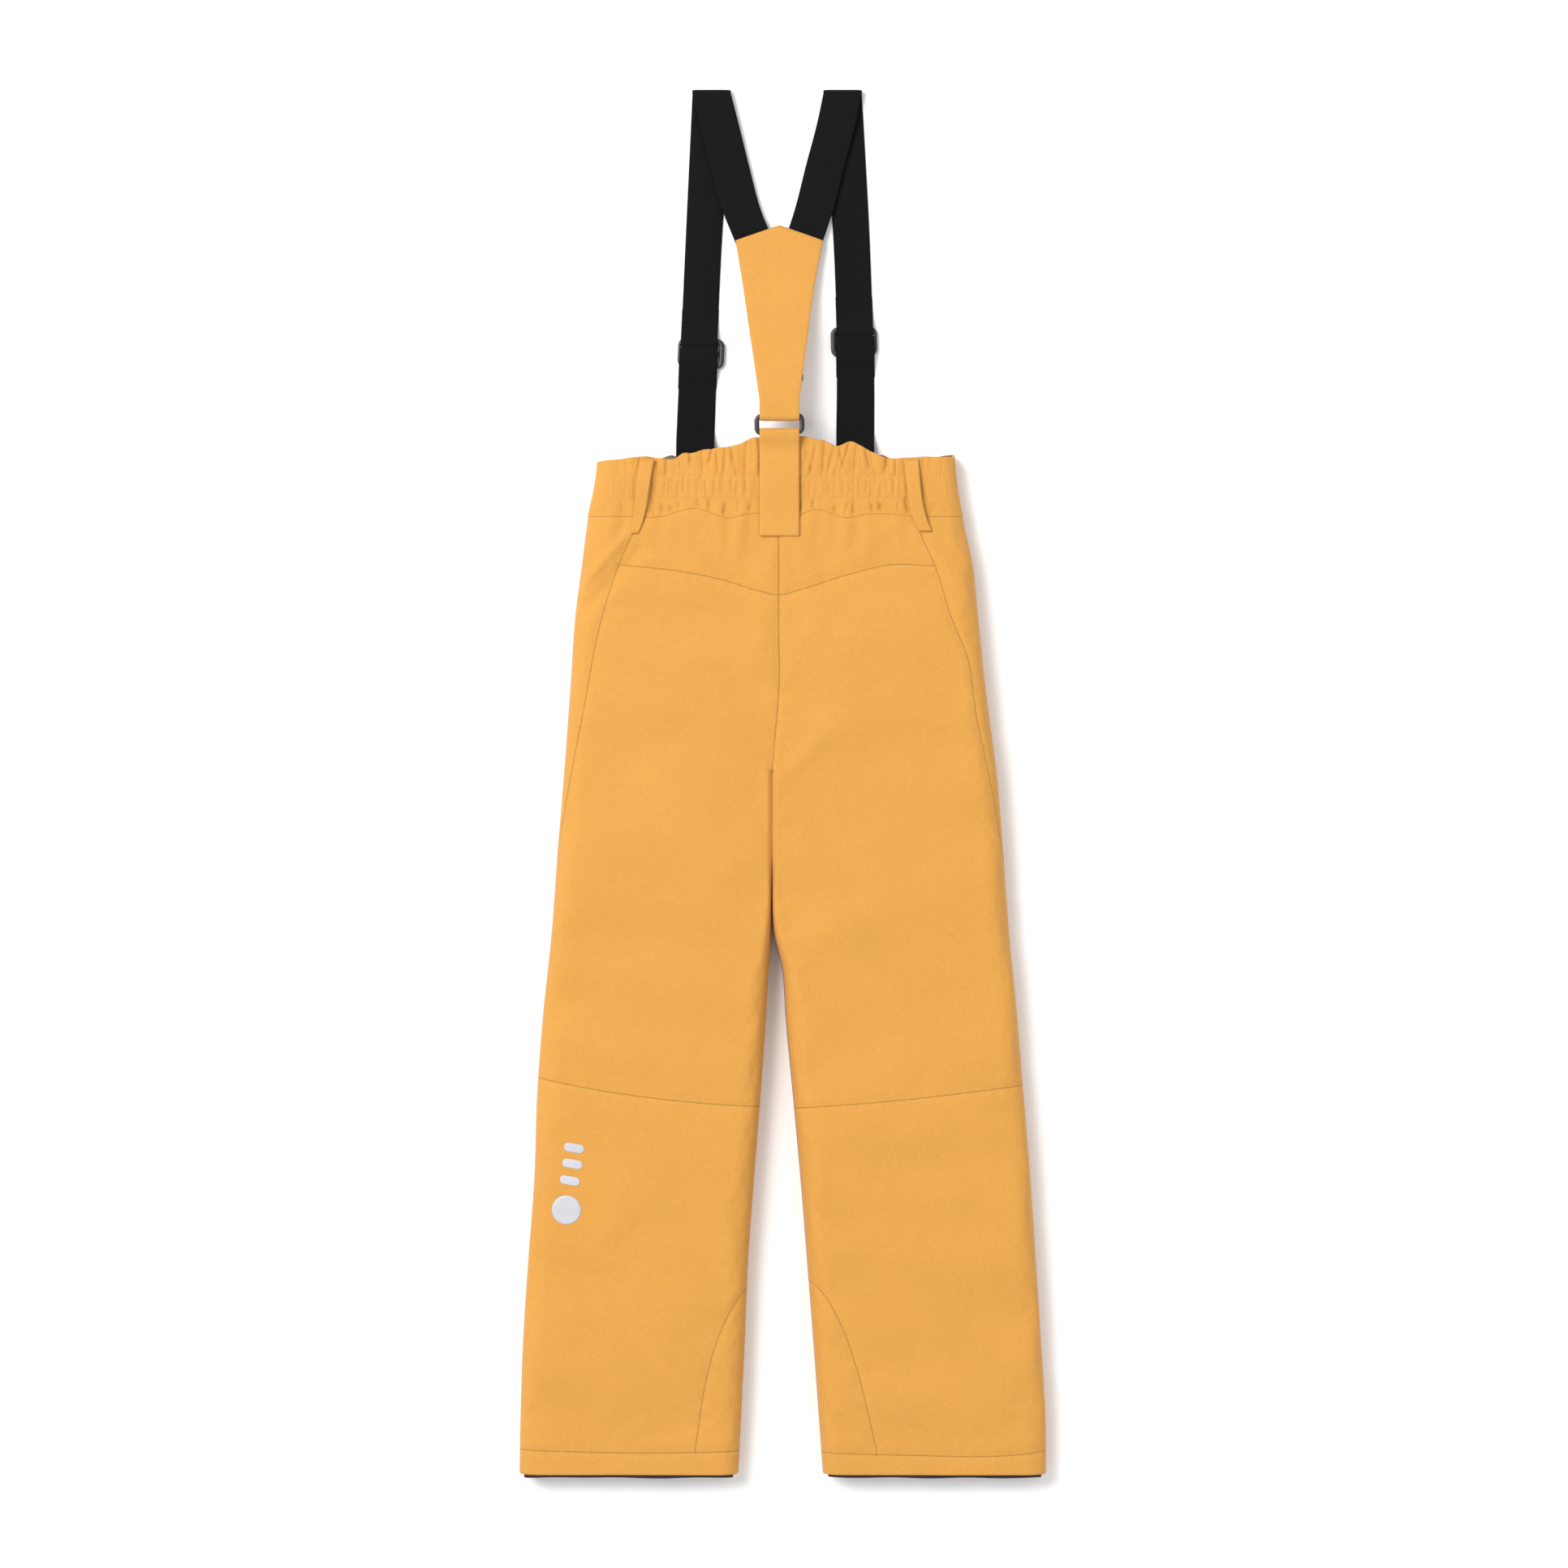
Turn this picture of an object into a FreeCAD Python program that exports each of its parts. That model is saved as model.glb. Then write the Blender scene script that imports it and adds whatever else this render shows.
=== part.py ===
# Insulated child's ski trousers with braces, laid flat with the back side up.
# X is across the waist, +Y runs from the hems to the braces, +Z is up from the surface it lies on.
# Millimetres. Every size is an entry of SIZES, written to the Sizes sheet and bound by expression.
import FreeCAD, Part
import Sketcher
import os

document = FreeCAD.newDocument("ski_trousers")

SIZES = {
    # fabric build-up of every wall, from the outside in
    "shell_thickness": 4.0,
    "lining_thickness": 1.2,
    "elastic_thickness": 1.6,
    "band_fabric": 2.2,
    "webbing_width": 30.0,
    "webbing_thickness": 1.6,
    "half_split": 15.0,
    "far_side": 400.0,
    "above_all": 60.0,
    # heights along the garment
    "waist_top_y": 262.0,
    "waist_seam_y": 201.0,
    "hip_y": 132.0,
    "crotch_y": 9.0,
    "gap_y": -112.0,
    "knee_y": -236.0,
    "knee_gap": 1.2,
    "shin_y": -358.0,
    "hem_seam_y": -502.0,
    "hem_y": -520.0,
    # thickness of the flattened tube
    "waist_top_thick": 26.0,
    "waist_thick": 30.0,
    "hip_thick": 34.0,
    "seat_thick": 36.0,
    "leg_thick": 32.0,
    "hem_thick": 28.0,
    # outer edges, left then right
    "waist_top_left": -141.0,
    "waist_left": -148.0,
    "hip_left": -157.0,
    "seat_left": -166.0,
    "gap_left": -175.0,
    "knee_left": -186.0,
    "shin_left": -193.0,
    "hem_seam_left": -199.0,
    "hem_left": -199.5,
    "waist_top_right": 129.0,
    "waist_right": 135.0,
    "hip_right": 145.0,
    "seat_right": 160.5,
    "gap_right": 170.0,
    "knee_right": 181.0,
    "shin_right": 190.5,
    "hem_seam_right": 198.0,
    "hem_right": 197.5,
    # inner edges of the two legs
    "crotch_inner_left": -9.4,
    "gap_inner_left": -9.6,
    "knee_inner_left": -17.8,
    "shin_inner_left": -27.0,
    "hem_seam_inner_left": -33.5,
    "hem_inner_left": -34.3,
    "crotch_inner_right": -8.6,
    "gap_inner_right": -8.4,
    "knee_inner_right": 6.7,
    "shin_inner_right": 17.2,
    "hem_seam_inner_right": 28.2,
    "hem_inner_right": 29.4,
    "centre_x": -4.0,
    # V shaped seam under the waistband
    "yoke_seam_middle": 142.0,
    "yoke_seam_side": 164.0,
    "side_seam_top_left": -114.0,
    "side_seam_mid_left": -137.0,
    "side_seam_top_right": 103.0,
    "side_seam_mid_right": 126.0,
    "side_seam_mid_y": 124.0,
    # fly
    "fly_width": 24.0,
    "fly_low_y": 70.0,
    "fly_high_y": 196.0,
    "placket_thickness": 1.2,
    "tape_bottom_z": 3.2,
    "zip_slider_gap": 0.3,
    "zip_slider_length": 12.0,
    # ring, tab and yoke of the braces
    "ring_x": -3.4,
    "ring_y": 264.0,
    "ring_z": 30.0,
    "ring_wire": 1.5,
    "ring_span": 13.0,
    "ring_width": 34.0,
    "tail_width": 30.0,
    "loop_outer": 3.8,
    "loop_inner": 1.8,
    "tab_low_y": 186.0,
    "yoke_low_z": 4.0,
    "yoke_apex_y": 422.0,
    "yoke_corner_y": 410.0,
    "yoke_thickness": 4.0,
    "strap_start_y": 267.0,
    "fold_y": 522.0,
    "fold_radius": 3.3,
    "strap_slider_y": 328.0,
    "strap_slider_length": 22.6,
    "strap_slider_width": 35.4,
    "strap_slider_height": 4.4,
    "slider_bar": 3.6,
    # trims
    "belt_loop_width": 10.5,
    "bar_length": 15.3,
    "bar_height": 6.7,
    "trim_thickness": 0.5,
    "disc_radius": 11.0,
    "gaiter_low_y": -523.0,
}

sheet = document.addObject("Spreadsheet::Sheet", "Sizes")
for row, (alias, value) in enumerate(SIZES.items(), start=1):
    sheet.set(f"A{row}", alias)
    sheet.set(f"B{row}", str(value))
    sheet.setAlias(f"B{row}", alias)
document.recompute()

PLANE_TURNS = {
    "XY": FreeCAD.Rotation(),
    "XZ": FreeCAD.Rotation(FreeCAD.Vector(1, 0, 0), 90),
    "YZ": FreeCAD.Rotation(0.5, 0.5, 0.5, 0.5),
}


def formula(text):
    """Write the sheet's name before every alias used in the text."""
    words = []
    word = ""
    for letter in text + " ":
        if letter.isalnum() or letter == "_":
            word += letter
            continue
        words.append("Sizes." + word if word in SIZES else word)
        words.append(letter)
        word = ""
    return "".join(words).strip()


def amount(text):
    return float(sheet.evalExpression(formula(text)))


def new_sketch(name, plane, offset_axis=None, offset="0"):
    sketch = document.addObject("Sketcher::SketchObject", name)
    sketch.Placement = FreeCAD.Placement(FreeCAD.Vector(), PLANE_TURNS[plane])
    if offset_axis:
        sketch.setExpression("Placement.Base." + offset_axis, formula(offset))
    return sketch


def fix_point(sketch, edge, point, across, up):
    """Hold one end of an edge at sketch coordinates given as formulas."""
    for kind, text in (("DistanceX", across), ("DistanceY", up)):
        index = sketch.addConstraint(Sketcher.Constraint(kind, -1, 1, edge, point, amount(text)))
        sketch.setExpression(f"Constraints[{index}]", formula(text))


def add_polygon(sketch, corners):
    places = [FreeCAD.Vector(amount(across), amount(up), 0) for across, up in corners]
    first = sketch.GeometryCount
    count = len(places)
    for index in range(count):
        sketch.addGeometry(Part.LineSegment(places[index], places[(index + 1) % count]), False)
    for index in range(count):
        following = first + (index + 1) % count
        sketch.addConstraint(Sketcher.Constraint("Coincident", first + index, 2, following, 1))
    for index, (across, up) in enumerate(corners):
        fix_point(sketch, first + index, 1, across, up)


def prism(name, corners, plane, start, length):
    """Extrude a polygon along the normal of its plane, from start."""
    axis = {"XY": "z", "YZ": "x", "XZ": "y"}[plane]
    sketch = new_sketch(name + "_outline", plane, axis, start)
    add_polygon(sketch, corners)
    solid = document.addObject("Part::Extrusion", name)
    solid.Base = sketch
    solid.DirMode = "Custom"
    solid.Dir = {"z": FreeCAD.Vector(0, 0, 1), "x": FreeCAD.Vector(1, 0, 0), "y": FreeCAD.Vector(0, 1, 0)}[axis]
    solid.Solid = True
    solid.LengthFwd = amount(length)
    solid.setExpression("LengthFwd", formula(length))
    return solid


def block(name, low, high):
    """Axis-aligned box between two corners given as formulas."""
    solid = document.addObject("Part::Box", name)
    for side, axis, near, far in zip(("Length", "Width", "Height"), "xyz", low, high):
        solid.setExpression(side, formula(f"({far}) - ({near})"))
        solid.setExpression("Placement.Base." + axis, formula(near))
    return solid


def rod(name, middle, axis, radius, length):
    """Round bar centred on middle, along X, Y or Z."""
    solid = document.addObject("Part::Cylinder", name)
    solid.setExpression("Radius", formula(radius))
    solid.setExpression("Height", formula(length))
    turns = {
        "x": FreeCAD.Rotation(FreeCAD.Vector(0, 1, 0), 90),
        "y": FreeCAD.Rotation(FreeCAD.Vector(1, 0, 0), -90),
        "z": FreeCAD.Rotation(),
    }
    solid.Placement = FreeCAD.Placement(FreeCAD.Vector(), turns[axis])
    for letter, text in zip("xyz", middle):
        text = f"({text}) - ({length}) / 2" if letter == axis else text
        solid.setExpression("Placement.Base." + letter, formula(text))
    return solid


def cut(name, base, tool):
    solid = document.addObject("Part::Cut", name)
    solid.Base = base
    solid.Tool = tool
    return solid


def common(name, *solids):
    solid = document.addObject("Part::MultiCommon", name)
    solid.Shapes = list(solids)
    return solid


def fuse(name, *solids):
    solid = document.addObject("Part::MultiFuse", name)
    solid.Shapes = list(solids)
    return solid


NODES = []


def node(solid, label):
    solid.Label = label
    NODES.append(solid)
    return solid


def tube_section(name, station_y, left, right, thick, inset):
    """Flat-topped cross-section of the flattened tube, with half-round sides."""
    sketch = new_sketch(name, "XZ", "y", station_y)
    inset = f"({inset})"
    low = inset
    high = f"{thick} - {inset}"
    radius = f"({thick} / 2 - {inset})"
    inner_left = f"{left} + {inset} + {radius}"
    inner_right = f"{right} - {inset} - {radius}"
    middle_z = amount(f"{thick} / 2")
    size = amount(radius)
    corners = [
        (inner_left, low),
        (inner_right, low),
        (inner_right, high),
        (inner_left, high),
    ]
    places = [FreeCAD.Vector(amount(across), amount(up), 0) for across, up in corners]
    up_axis = FreeCAD.Vector(0, 0, 1)
    right_middle = FreeCAD.Vector(places[1].x, middle_z, 0)
    left_middle = FreeCAD.Vector(places[0].x, middle_z, 0)
    quarter = 1.5707963267948966
    sketch.addGeometry(Part.LineSegment(places[0], places[1]), False)
    sketch.addGeometry(Part.ArcOfCircle(Part.Circle(right_middle, up_axis, size), -quarter, quarter), False)
    sketch.addGeometry(Part.LineSegment(places[2], places[3]), False)
    sketch.addGeometry(Part.ArcOfCircle(Part.Circle(left_middle, up_axis, size), quarter, 3 * quarter), False)
    for edge in range(4):
        sketch.addConstraint(Sketcher.Constraint("Coincident", edge, 2, (edge + 1) % 4, 1))
    fix_point(sketch, 0, 1, *corners[0])
    fix_point(sketch, 0, 2, *corners[1])
    fix_point(sketch, 2, 1, *corners[2])
    fix_point(sketch, 2, 2, *corners[3])
    for edge, across in ((1, inner_right), (3, inner_left)):
        index = sketch.addConstraint(Sketcher.Constraint("DistanceX", -1, 1, edge, 3, amount(across)))
        sketch.setExpression(f"Constraints[{index}]", formula(across))
    return sketch


def tube(name, stations, inset):
    """Straight-sided loft through the cross-sections, moved in from the outer surface by inset."""
    loft = document.addObject("Part::Loft", name)
    loft.Sections = [
        tube_section(f"{name}_section{index}", *station, inset) for index, station in enumerate(stations)
    ]
    loft.Solid = True
    loft.Ruled = True
    return loft


def layer(name, stations, outer_inset, inner_inset):
    return cut(name, tube(name + "_outer", stations, outer_inset), tube(name + "_inner", stations, inner_inset))


SEAT = [
    ("waist_seam_y", "waist_left", "waist_right", "waist_thick"),
    ("hip_y", "hip_left", "hip_right", "hip_thick"),
    ("crotch_y", "seat_left", "seat_right", "seat_thick"),
]
BAND = [
    ("waist_top_y", "waist_top_left", "waist_top_right", "waist_top_thick"),
    ("waist_seam_y", "waist_left", "waist_right", "waist_thick"),
]


def leg_edges(side, station):
    """Left and right edge of one leg at a named height."""
    if side == "left":
        return (station + "_left", station + "_inner_left")
    return (station + "_inner_right", station + "_right")


def thigh_stations(side):
    crotch = ("seat_left", "crotch_inner_left") if side == "left" else ("crotch_inner_right", "seat_right")
    return [
        ("crotch_y", *crotch, "seat_thick"),
        ("gap_y", *leg_edges(side, "gap"), "leg_thick"),
        ("knee_y + knee_gap / 2", *leg_edges(side, "knee"), "leg_thick"),
    ]


def shin_stations(side, low_y="hem_seam_y"):
    return [
        ("knee_y - knee_gap / 2", *leg_edges(side, "knee"), "leg_thick"),
        ("shin_y", *leg_edges(side, "shin"), "leg_thick"),
        (low_y, *leg_edges(side, "hem_seam"), "hem_thick"),
    ]


def upper_half(name):
    return block(name, ("-far_side", "-2 * far_side", "half_split"), ("far_side", "2 * far_side", "above_all"))


def lower_half(name):
    return block(name, ("-far_side", "-2 * far_side", "-half_split"), ("far_side", "2 * far_side", "half_split"))


LOW_Z = "-half_split"
TALL = "2 * above_all"


def yoke_region():
    """Everything between the waist seam and the V shaped seam."""
    return prism("yoke_region", [
        ("-far_side", "yoke_seam_side"),
        ("side_seam_top_left - 9", "yoke_seam_side"),
        ("centre_x", "yoke_seam_middle"),
        ("side_seam_top_right + 9", "yoke_seam_side"),
        ("far_side", "yoke_seam_side"),
        ("far_side", "far_side"),
        ("-far_side", "far_side"),
    ], "XY", LOW_Z, TALL)


def side_region(side):
    sign = "-" if side == "left" else ""
    low_edge = "seat_left" if side == "left" else "seat_right"
    return prism(f"side_region_{side}", [
        (f"side_seam_top_{side}", "waist_seam_y + 5"),
        (f"side_seam_top_{side}", "yoke_seam_side + 22"),
        (f"side_seam_mid_{side}", "side_seam_mid_y"),
        (f"{low_edge} {'+' if side == 'left' else '-'} 3", "crotch_y"),
        (f"{sign}far_side", "crotch_y"),
        (f"{sign}far_side", "waist_seam_y + 5"),
    ], "XY", LOW_Z, TALL)


def half_garment(side):
    """Everything on one side of the centre back seam."""
    if side == "left":
        return block("left_half", ("-far_side", "-2 * far_side", LOW_Z), ("centre_x", "2 * far_side", "above_all"))
    return block("right_half", ("centre_x", "-2 * far_side", LOW_Z), ("far_side", "2 * far_side", "above_all"))


def fly_region():
    return block("fly_region", ("centre_x - fly_width / 2", "fly_low_y", LOW_Z),
                 ("centre_x + fly_width / 2", "fly_high_y", "tape_bottom_z + 0.8"))


def build_upper_garment():
    seat_shell = layer("seat_shell", SEAT, "0", "shell_thickness")
    band_shell = layer("band_shell", BAND, "0", "band_fabric")
    yoke = yoke_region()
    sides = {side: side_region(side) for side in ("left", "right")}
    top = upper_half("top_half")
    bottom = lower_half("bottom_half")
    side_and_yoke = fuse("side_and_yoke", yoke, sides["left"], sides["right"])
    both_sides = fuse("both_sides", sides["left"], sides["right"])
    node(cut("back_yoke_panel_solid", common("back_yoke_raw", seat_shell, top, yoke), both_sides), "back_yoke_panel")
    fly = fly_region()
    for side in ("left", "right"):
        thigh = layer(f"thigh_shell_{side}", thigh_stations(side), "0", "shell_thickness")
        half = half_garment(side)
        node(common(f"side_panel_{side}_solid", seat_shell, sides[side]), f"side_panel_{side}")
        back_seat = cut(f"back_seat_{side}", common(f"back_seat_raw_{side}", seat_shell, top, half), side_and_yoke)
        back_thigh = common(f"back_thigh_{side}", thigh, top)
        node(fuse(f"back_panel_{side}_solid", back_seat, back_thigh), f"back_panel_{side}")
        front_seat = cut(f"front_seat_{side}", common(f"front_seat_raw_{side}", seat_shell, bottom, half), both_sides)
        front_thigh = common(f"front_thigh_{side}", thigh, bottom)
        front = fuse(f"front_raw_{side}", front_seat, front_thigh)
        node(cut(f"front_panel_{side}_solid", front, fly), f"front_panel_{side}")
        lining = layer(f"thigh_lining_{side}", thigh_stations(side), "shell_thickness",
                       "shell_thickness + lining_thickness")
        node(lining, f"thigh_lining_{side}")
    node(layer("seat_lining_solid", SEAT, "shell_thickness", "shell_thickness + lining_thickness"), "seat_lining")
    build_waistband(band_shell, top, bottom)


def build_waistband(band_shell, top, bottom):
    back_edge = prism("band_back_edge", [
        ("waist_left - 5", "waist_seam_y"),
        ("waist_right + 5", "waist_seam_y"),
        ("waist_right", "waist_top_y - 16"),
        ("waist_top_right - 53", "waist_top_y - 15"),
        ("ring_x + 15", "waist_top_y - 2"),
        ("ring_x - 15", "waist_top_y - 2"),
        ("waist_top_left + 39", "waist_top_y - 15"),
        ("waist_left", "waist_top_y - 18"),
    ], "XY", LOW_Z, TALL)
    front_edge = block("band_front_edge", ("-far_side", "waist_seam_y", LOW_Z),
                       ("far_side", "waist_top_y - 14", "above_all"))
    node(common("waistband_back_solid", band_shell, top, back_edge), "waistband_back")
    node(common("waistband_front_solid", band_shell, bottom, front_edge), "waistband_front")
    elastic = layer("elastic_tube", BAND, "band_fabric", "band_fabric + elastic_thickness")
    strip = block("elastic_strip", ("-far_side", "waist_seam_y + 2", "half_split"),
                  ("far_side", "waist_top_y - 20", "above_all"))
    node(common("waist_elastic_solid", elastic, strip), "waist_elastic")
    facing = layer("facing_tube", BAND, "band_fabric + elastic_thickness",
                   "band_fabric + elastic_thickness + lining_thickness")
    node(common("waistband_facing_solid", facing, front_edge), "waistband_facing")


def build_lower_leg(side):
    shell = layer(f"shin_shell_{side}", shin_stations(side), "0", "shell_thickness")
    guard = ankle_region(side)
    top = upper_half(f"shin_top_{side}")
    bottom = lower_half(f"shin_bottom_{side}")
    node(cut(f"shin_back_{side}_solid", common(f"shin_back_raw_{side}", shell, top), guard), f"shin_back_{side}")
    node(cut(f"shin_front_{side}_solid", common(f"shin_front_raw_{side}", shell, bottom), guard),
         f"shin_front_{side}")
    node(common(f"ankle_guard_{side}_solid", shell, guard), f"ankle_guard_{side}")
    lining = layer(f"shin_lining_{side}_solid", shin_stations(side), "shell_thickness",
                   "shell_thickness + lining_thickness")
    node(lining, f"shin_lining_{side}")
    hem = [
        ("hem_seam_y", *leg_edges(side, "hem_seam"), "hem_thick"),
        ("hem_y", *leg_edges(side, "hem"), "hem_thick"),
    ]
    node(layer(f"hem_{side}_solid", hem, "0", "shell_thickness"), f"hem_{side}")
    gaiter = [
        ("hem_seam_y", *leg_edges(side, "hem_seam"), "hem_thick"),
        ("gaiter_low_y", *leg_edges(side, "hem"), "hem_thick"),
    ]
    outset = "shell_thickness + lining_thickness + 1"
    node(layer(f"gaiter_{side}_solid", gaiter, outset, outset + " + lining_thickness"), f"gaiter_{side}")


def ankle_region(side):
    """Patch on the inner side of the ankle, bounded by a slanted curve."""
    if side == "left":
        seam = ("shin_inner_left", "hem_seam_inner_left")
        away = "-"
        beyond = "centre_x"
    else:
        seam = ("shin_inner_right", "hem_seam_inner_right")
        away = "+"
        beyond = "centre_x"
    return prism(f"ankle_region_{side}", [
        (beyond, "shin_y - 18"),
        (seam[0], "shin_y - 18"),
        (f"{seam[0]} {away} 14", "shin_y - 38"),
        (f"{seam[0]} {away} 27", "shin_y - 78"),
        (f"{seam[1]} {away} 33", "hem_seam_y - 4"),
        (beyond, "hem_seam_y - 4"),
    ], "XY", LOW_Z, TALL)


def build_fly():
    node(block("fly_placket_solid", ("centre_x - fly_width / 2", "fly_low_y", "0"),
               ("centre_x + fly_width / 2", "fly_high_y", "placket_thickness")), "fly_placket")
    node(block("fly_zip_tape_solid", ("centre_x - fly_width / 2", "fly_low_y", "tape_bottom_z"),
               ("centre_x + fly_width / 2", "fly_high_y", "tape_bottom_z + 0.8")), "fly_zip_tape")
    body = block("zip_slider_body", ("centre_x - 4", "fly_high_y - 4 - zip_slider_length",
                                     "placket_thickness + zip_slider_gap"),
                 ("centre_x + 4", "fly_high_y - 4", "tape_bottom_z - zip_slider_gap"))
    pull = block("zip_slider_pull", ("centre_x - 2.5", "fly_high_y - 30 - zip_slider_length",
                                     "placket_thickness + zip_slider_gap"),
                 ("centre_x + 2.5", "fly_high_y - 4 - zip_slider_length",
                  "placket_thickness + zip_slider_gap + 1"))
    node(fuse("zip_slider_solid", body, pull), "fly_zip_slider")
    node(rod("waist_snap_solid", ("centre_x", "waist_seam_y + 24",
                                  "(band_fabric + elastic_thickness + lining_thickness) + 1.5"),
             "z", "7.5", "3"), "waist_snap")


def loop_outline(name, start_y, start_low, start_high, end_y, end_low, end_high, bar_y, width):
    """A strip seen from the side that ends in a loop round a bar of the ring."""
    strip = prism(name + "_strip", [
        (start_y, start_low),
        (end_y, end_low),
        (end_y, end_high),
        (start_y, start_high),
    ], "YZ", f"ring_x - {width} / 2", width)
    loop = rod(name + "_loop", ("ring_x", bar_y, "ring_z"), "x", "loop_outer", width)
    hole = rod(name + "_hole", ("ring_x", bar_y, "ring_z"), "x", "loop_inner", width + " + 4")
    return cut(name + "_profile", fuse(name + "_body", strip, loop), hole)


def build_tab():
    node(loop_outline("centre_tab", "tab_low_y", "31.2", "33.2", "ring_y - 2.5", "26.5", "28.6", "ring_y",
                      "tail_width"), "centre_tab")


def build_ring():
    bars = []
    for name, bar_y in (("near", "ring_y"), ("far", "ring_y + ring_span")):
        bars.append(rod(f"ring_bar_{name}", ("ring_x", bar_y, "ring_z"), "x", "ring_wire",
                        "ring_width + 2 * ring_wire"))
    for name, sign in (("left", "-"), ("right", "+")):
        bars.append(rod(f"ring_side_{name}", (f"ring_x {sign} ring_width / 2", "ring_y + ring_span / 2", "ring_z"),
                        "y", "ring_wire", "ring_span + 2 * ring_wire"))
    node(fuse("ring_solid", *bars), "ring")


def build_yoke():
    """Y shaped piece whose tail loops the ring and whose arms hold the webbing."""
    tail_y = "ring_y + ring_span"
    low = "yoke_low_z"
    profile = loop_outline("yoke", "yoke_apex_y + 10", low, f"{low} + yoke_thickness", f"{tail_y} + 2.6",
                           "ring_z - 2", "ring_z + 2", tail_y, "80")
    outline = prism("yoke_outline", [
        ("ring_x - tail_width / 2", f"{tail_y} - 5"),
        ("ring_x + tail_width / 2", f"{tail_y} - 5"),
        ("ring_x + tail_width / 2", f"{tail_y} + 6"),
        ("ring_x + 27", "yoke_corner_y - 33"),
        ("ring_x + 33", "yoke_corner_y"),
        ("ring_x - 1", "yoke_apex_y"),
        ("ring_x - 33", "yoke_corner_y"),
        ("ring_x - 27", "yoke_corner_y - 33"),
        ("ring_x - tail_width / 2", f"{tail_y} + 6"),
    ], "XY", LOW_Z, TALL)
    node(common("yoke_solid", profile, outline), "yoke")
    slot_y = f"{tail_y} + 28"
    node(block("tail_slider_solid", ("ring_x - tail_width / 2 - 2.5", slot_y, "ring_z - 11"),
               ("ring_x + tail_width / 2 + 2.5", f"{slot_y} + 8", "ring_z - 8.6")), "tail_slider")


BRACES = {
    "left": {"start": "-66.8", "end": "-54.8", "arm": "-20.5", "bend": "-40"},
    "right": {"start": "53.6", "end": "44.4", "arm": "13.5", "bend": "30"},
}


def build_braces(side):
    """One length of webbing: front run on the floor, a fold, and the back run up to the yoke."""
    run = BRACES[side]
    half = "webbing_width / 2"
    front = prism(f"webbing_front_{side}", [
        (f"({run['start']}) - {half}", "strap_start_y"),
        (f"({run['start']}) + {half}", "strap_start_y"),
        (f"({run['end']}) + {half}", "fold_y"),
        (f"({run['end']}) - {half}", "fold_y"),
    ], "XY", "0", "webbing_thickness")
    back_z = "2 * fold_radius - webbing_thickness"
    arm_y = "yoke_corner_y + 8"
    back = prism(f"webbing_back_{side}", [
        (f"({run['arm']}) - {half}", arm_y),
        (f"({run['arm']}) + {half} + 1", f"{arm_y} + 6"),
        (f"({run['bend']}) + {half}", "fold_y - 54"),
        (f"({run['end']}) + {half}", "fold_y"),
        (f"({run['end']}) - {half}", "fold_y"),
        (f"({run['bend']}) - {half}", "fold_y - 54"),
    ], "XY", back_z, "webbing_thickness")
    fold_middle = (run["end"], "fold_y", "fold_radius")
    outside = rod(f"fold_outside_{side}", fold_middle, "x", "fold_radius", "webbing_width")
    inside = rod(f"fold_inside_{side}", fold_middle, "x", "fold_radius - webbing_thickness", "webbing_width + 4")
    keep = block(f"fold_keep_{side}", ("-far_side", "fold_y", "-1"), ("far_side", "fold_y + 20", "above_all"))
    fold = common(f"fold_{side}", cut(f"fold_ring_{side}", outside, inside), keep)
    webbing = fuse(f"webbing_raw_{side}", front, fold, back)
    yoke = next(item for item in NODES if item.Label == "yoke")
    node(cut(f"webbing_{side}_solid", webbing, yoke), f"webbing_{side}")
    build_anchor(side, run)
    build_strap_slider(side, run)


def build_anchor(side, run):
    floor = "band_fabric + elastic_thickness + lining_thickness"
    node(block(f"strap_anchor_{side}_solid", (f"({run['start']}) - webbing_width / 2", "waist_seam_y + 6", floor),
               (f"({run['start']}) + webbing_width / 2", "waist_top_y", f"{floor} + webbing_thickness")),
         f"strap_anchor_{side}")


def build_strap_slider(side, run):
    """Three-bar slide lying over the webbing and slanted with it, with side rails beyond its edges."""
    slope = f"((({run['end']}) - ({run['start']})) / (fold_y - strap_start_y))"
    middle = f"(({run['start']}) + {slope} * (strap_slider_y - strap_start_y))"
    half = "strap_slider_length / 2"

    def piece(name, near_side, far_side, low, high, start_z):
        """Slanted block from low to high along the strap, measured from the slide's middle."""
        corners = [
            (f"{middle} + {slope} * ({low}) + ({near_side})", f"strap_slider_y + ({low})"),
            (f"{middle} + {slope} * ({low}) + ({far_side})", f"strap_slider_y + ({low})"),
            (f"{middle} + {slope} * ({high}) + ({far_side})", f"strap_slider_y + ({high})"),
            (f"{middle} + {slope} * ({high}) + ({near_side})", f"strap_slider_y + ({high})"),
        ]
        return prism(f"slider_{name}_{side}", corners, "XY", start_z, f"strap_slider_height - ({start_z})")

    under = "webbing_thickness + 0.5"
    edge = "strap_slider_width / 2"
    pieces = [
        piece("low_bar", f"-{edge}", edge, f"-{half}", f"slider_bar - {half}", under),
        piece("middle_bar", f"-{edge}", edge, "-slider_bar / 2", "slider_bar / 2", under),
        piece("high_bar", f"-{edge}", edge, f"{half} - slider_bar", half, under),
        piece("left_rail", f"-{edge}", f"2 - {edge}", f"-{half}", half, "0"),
        piece("right_rail", f"{edge} - 2", edge, f"-{half}", half, "0"),
    ]
    node(fuse(f"strap_slider_{side}_solid", *pieces), f"strap_slider_{side}")


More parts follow.
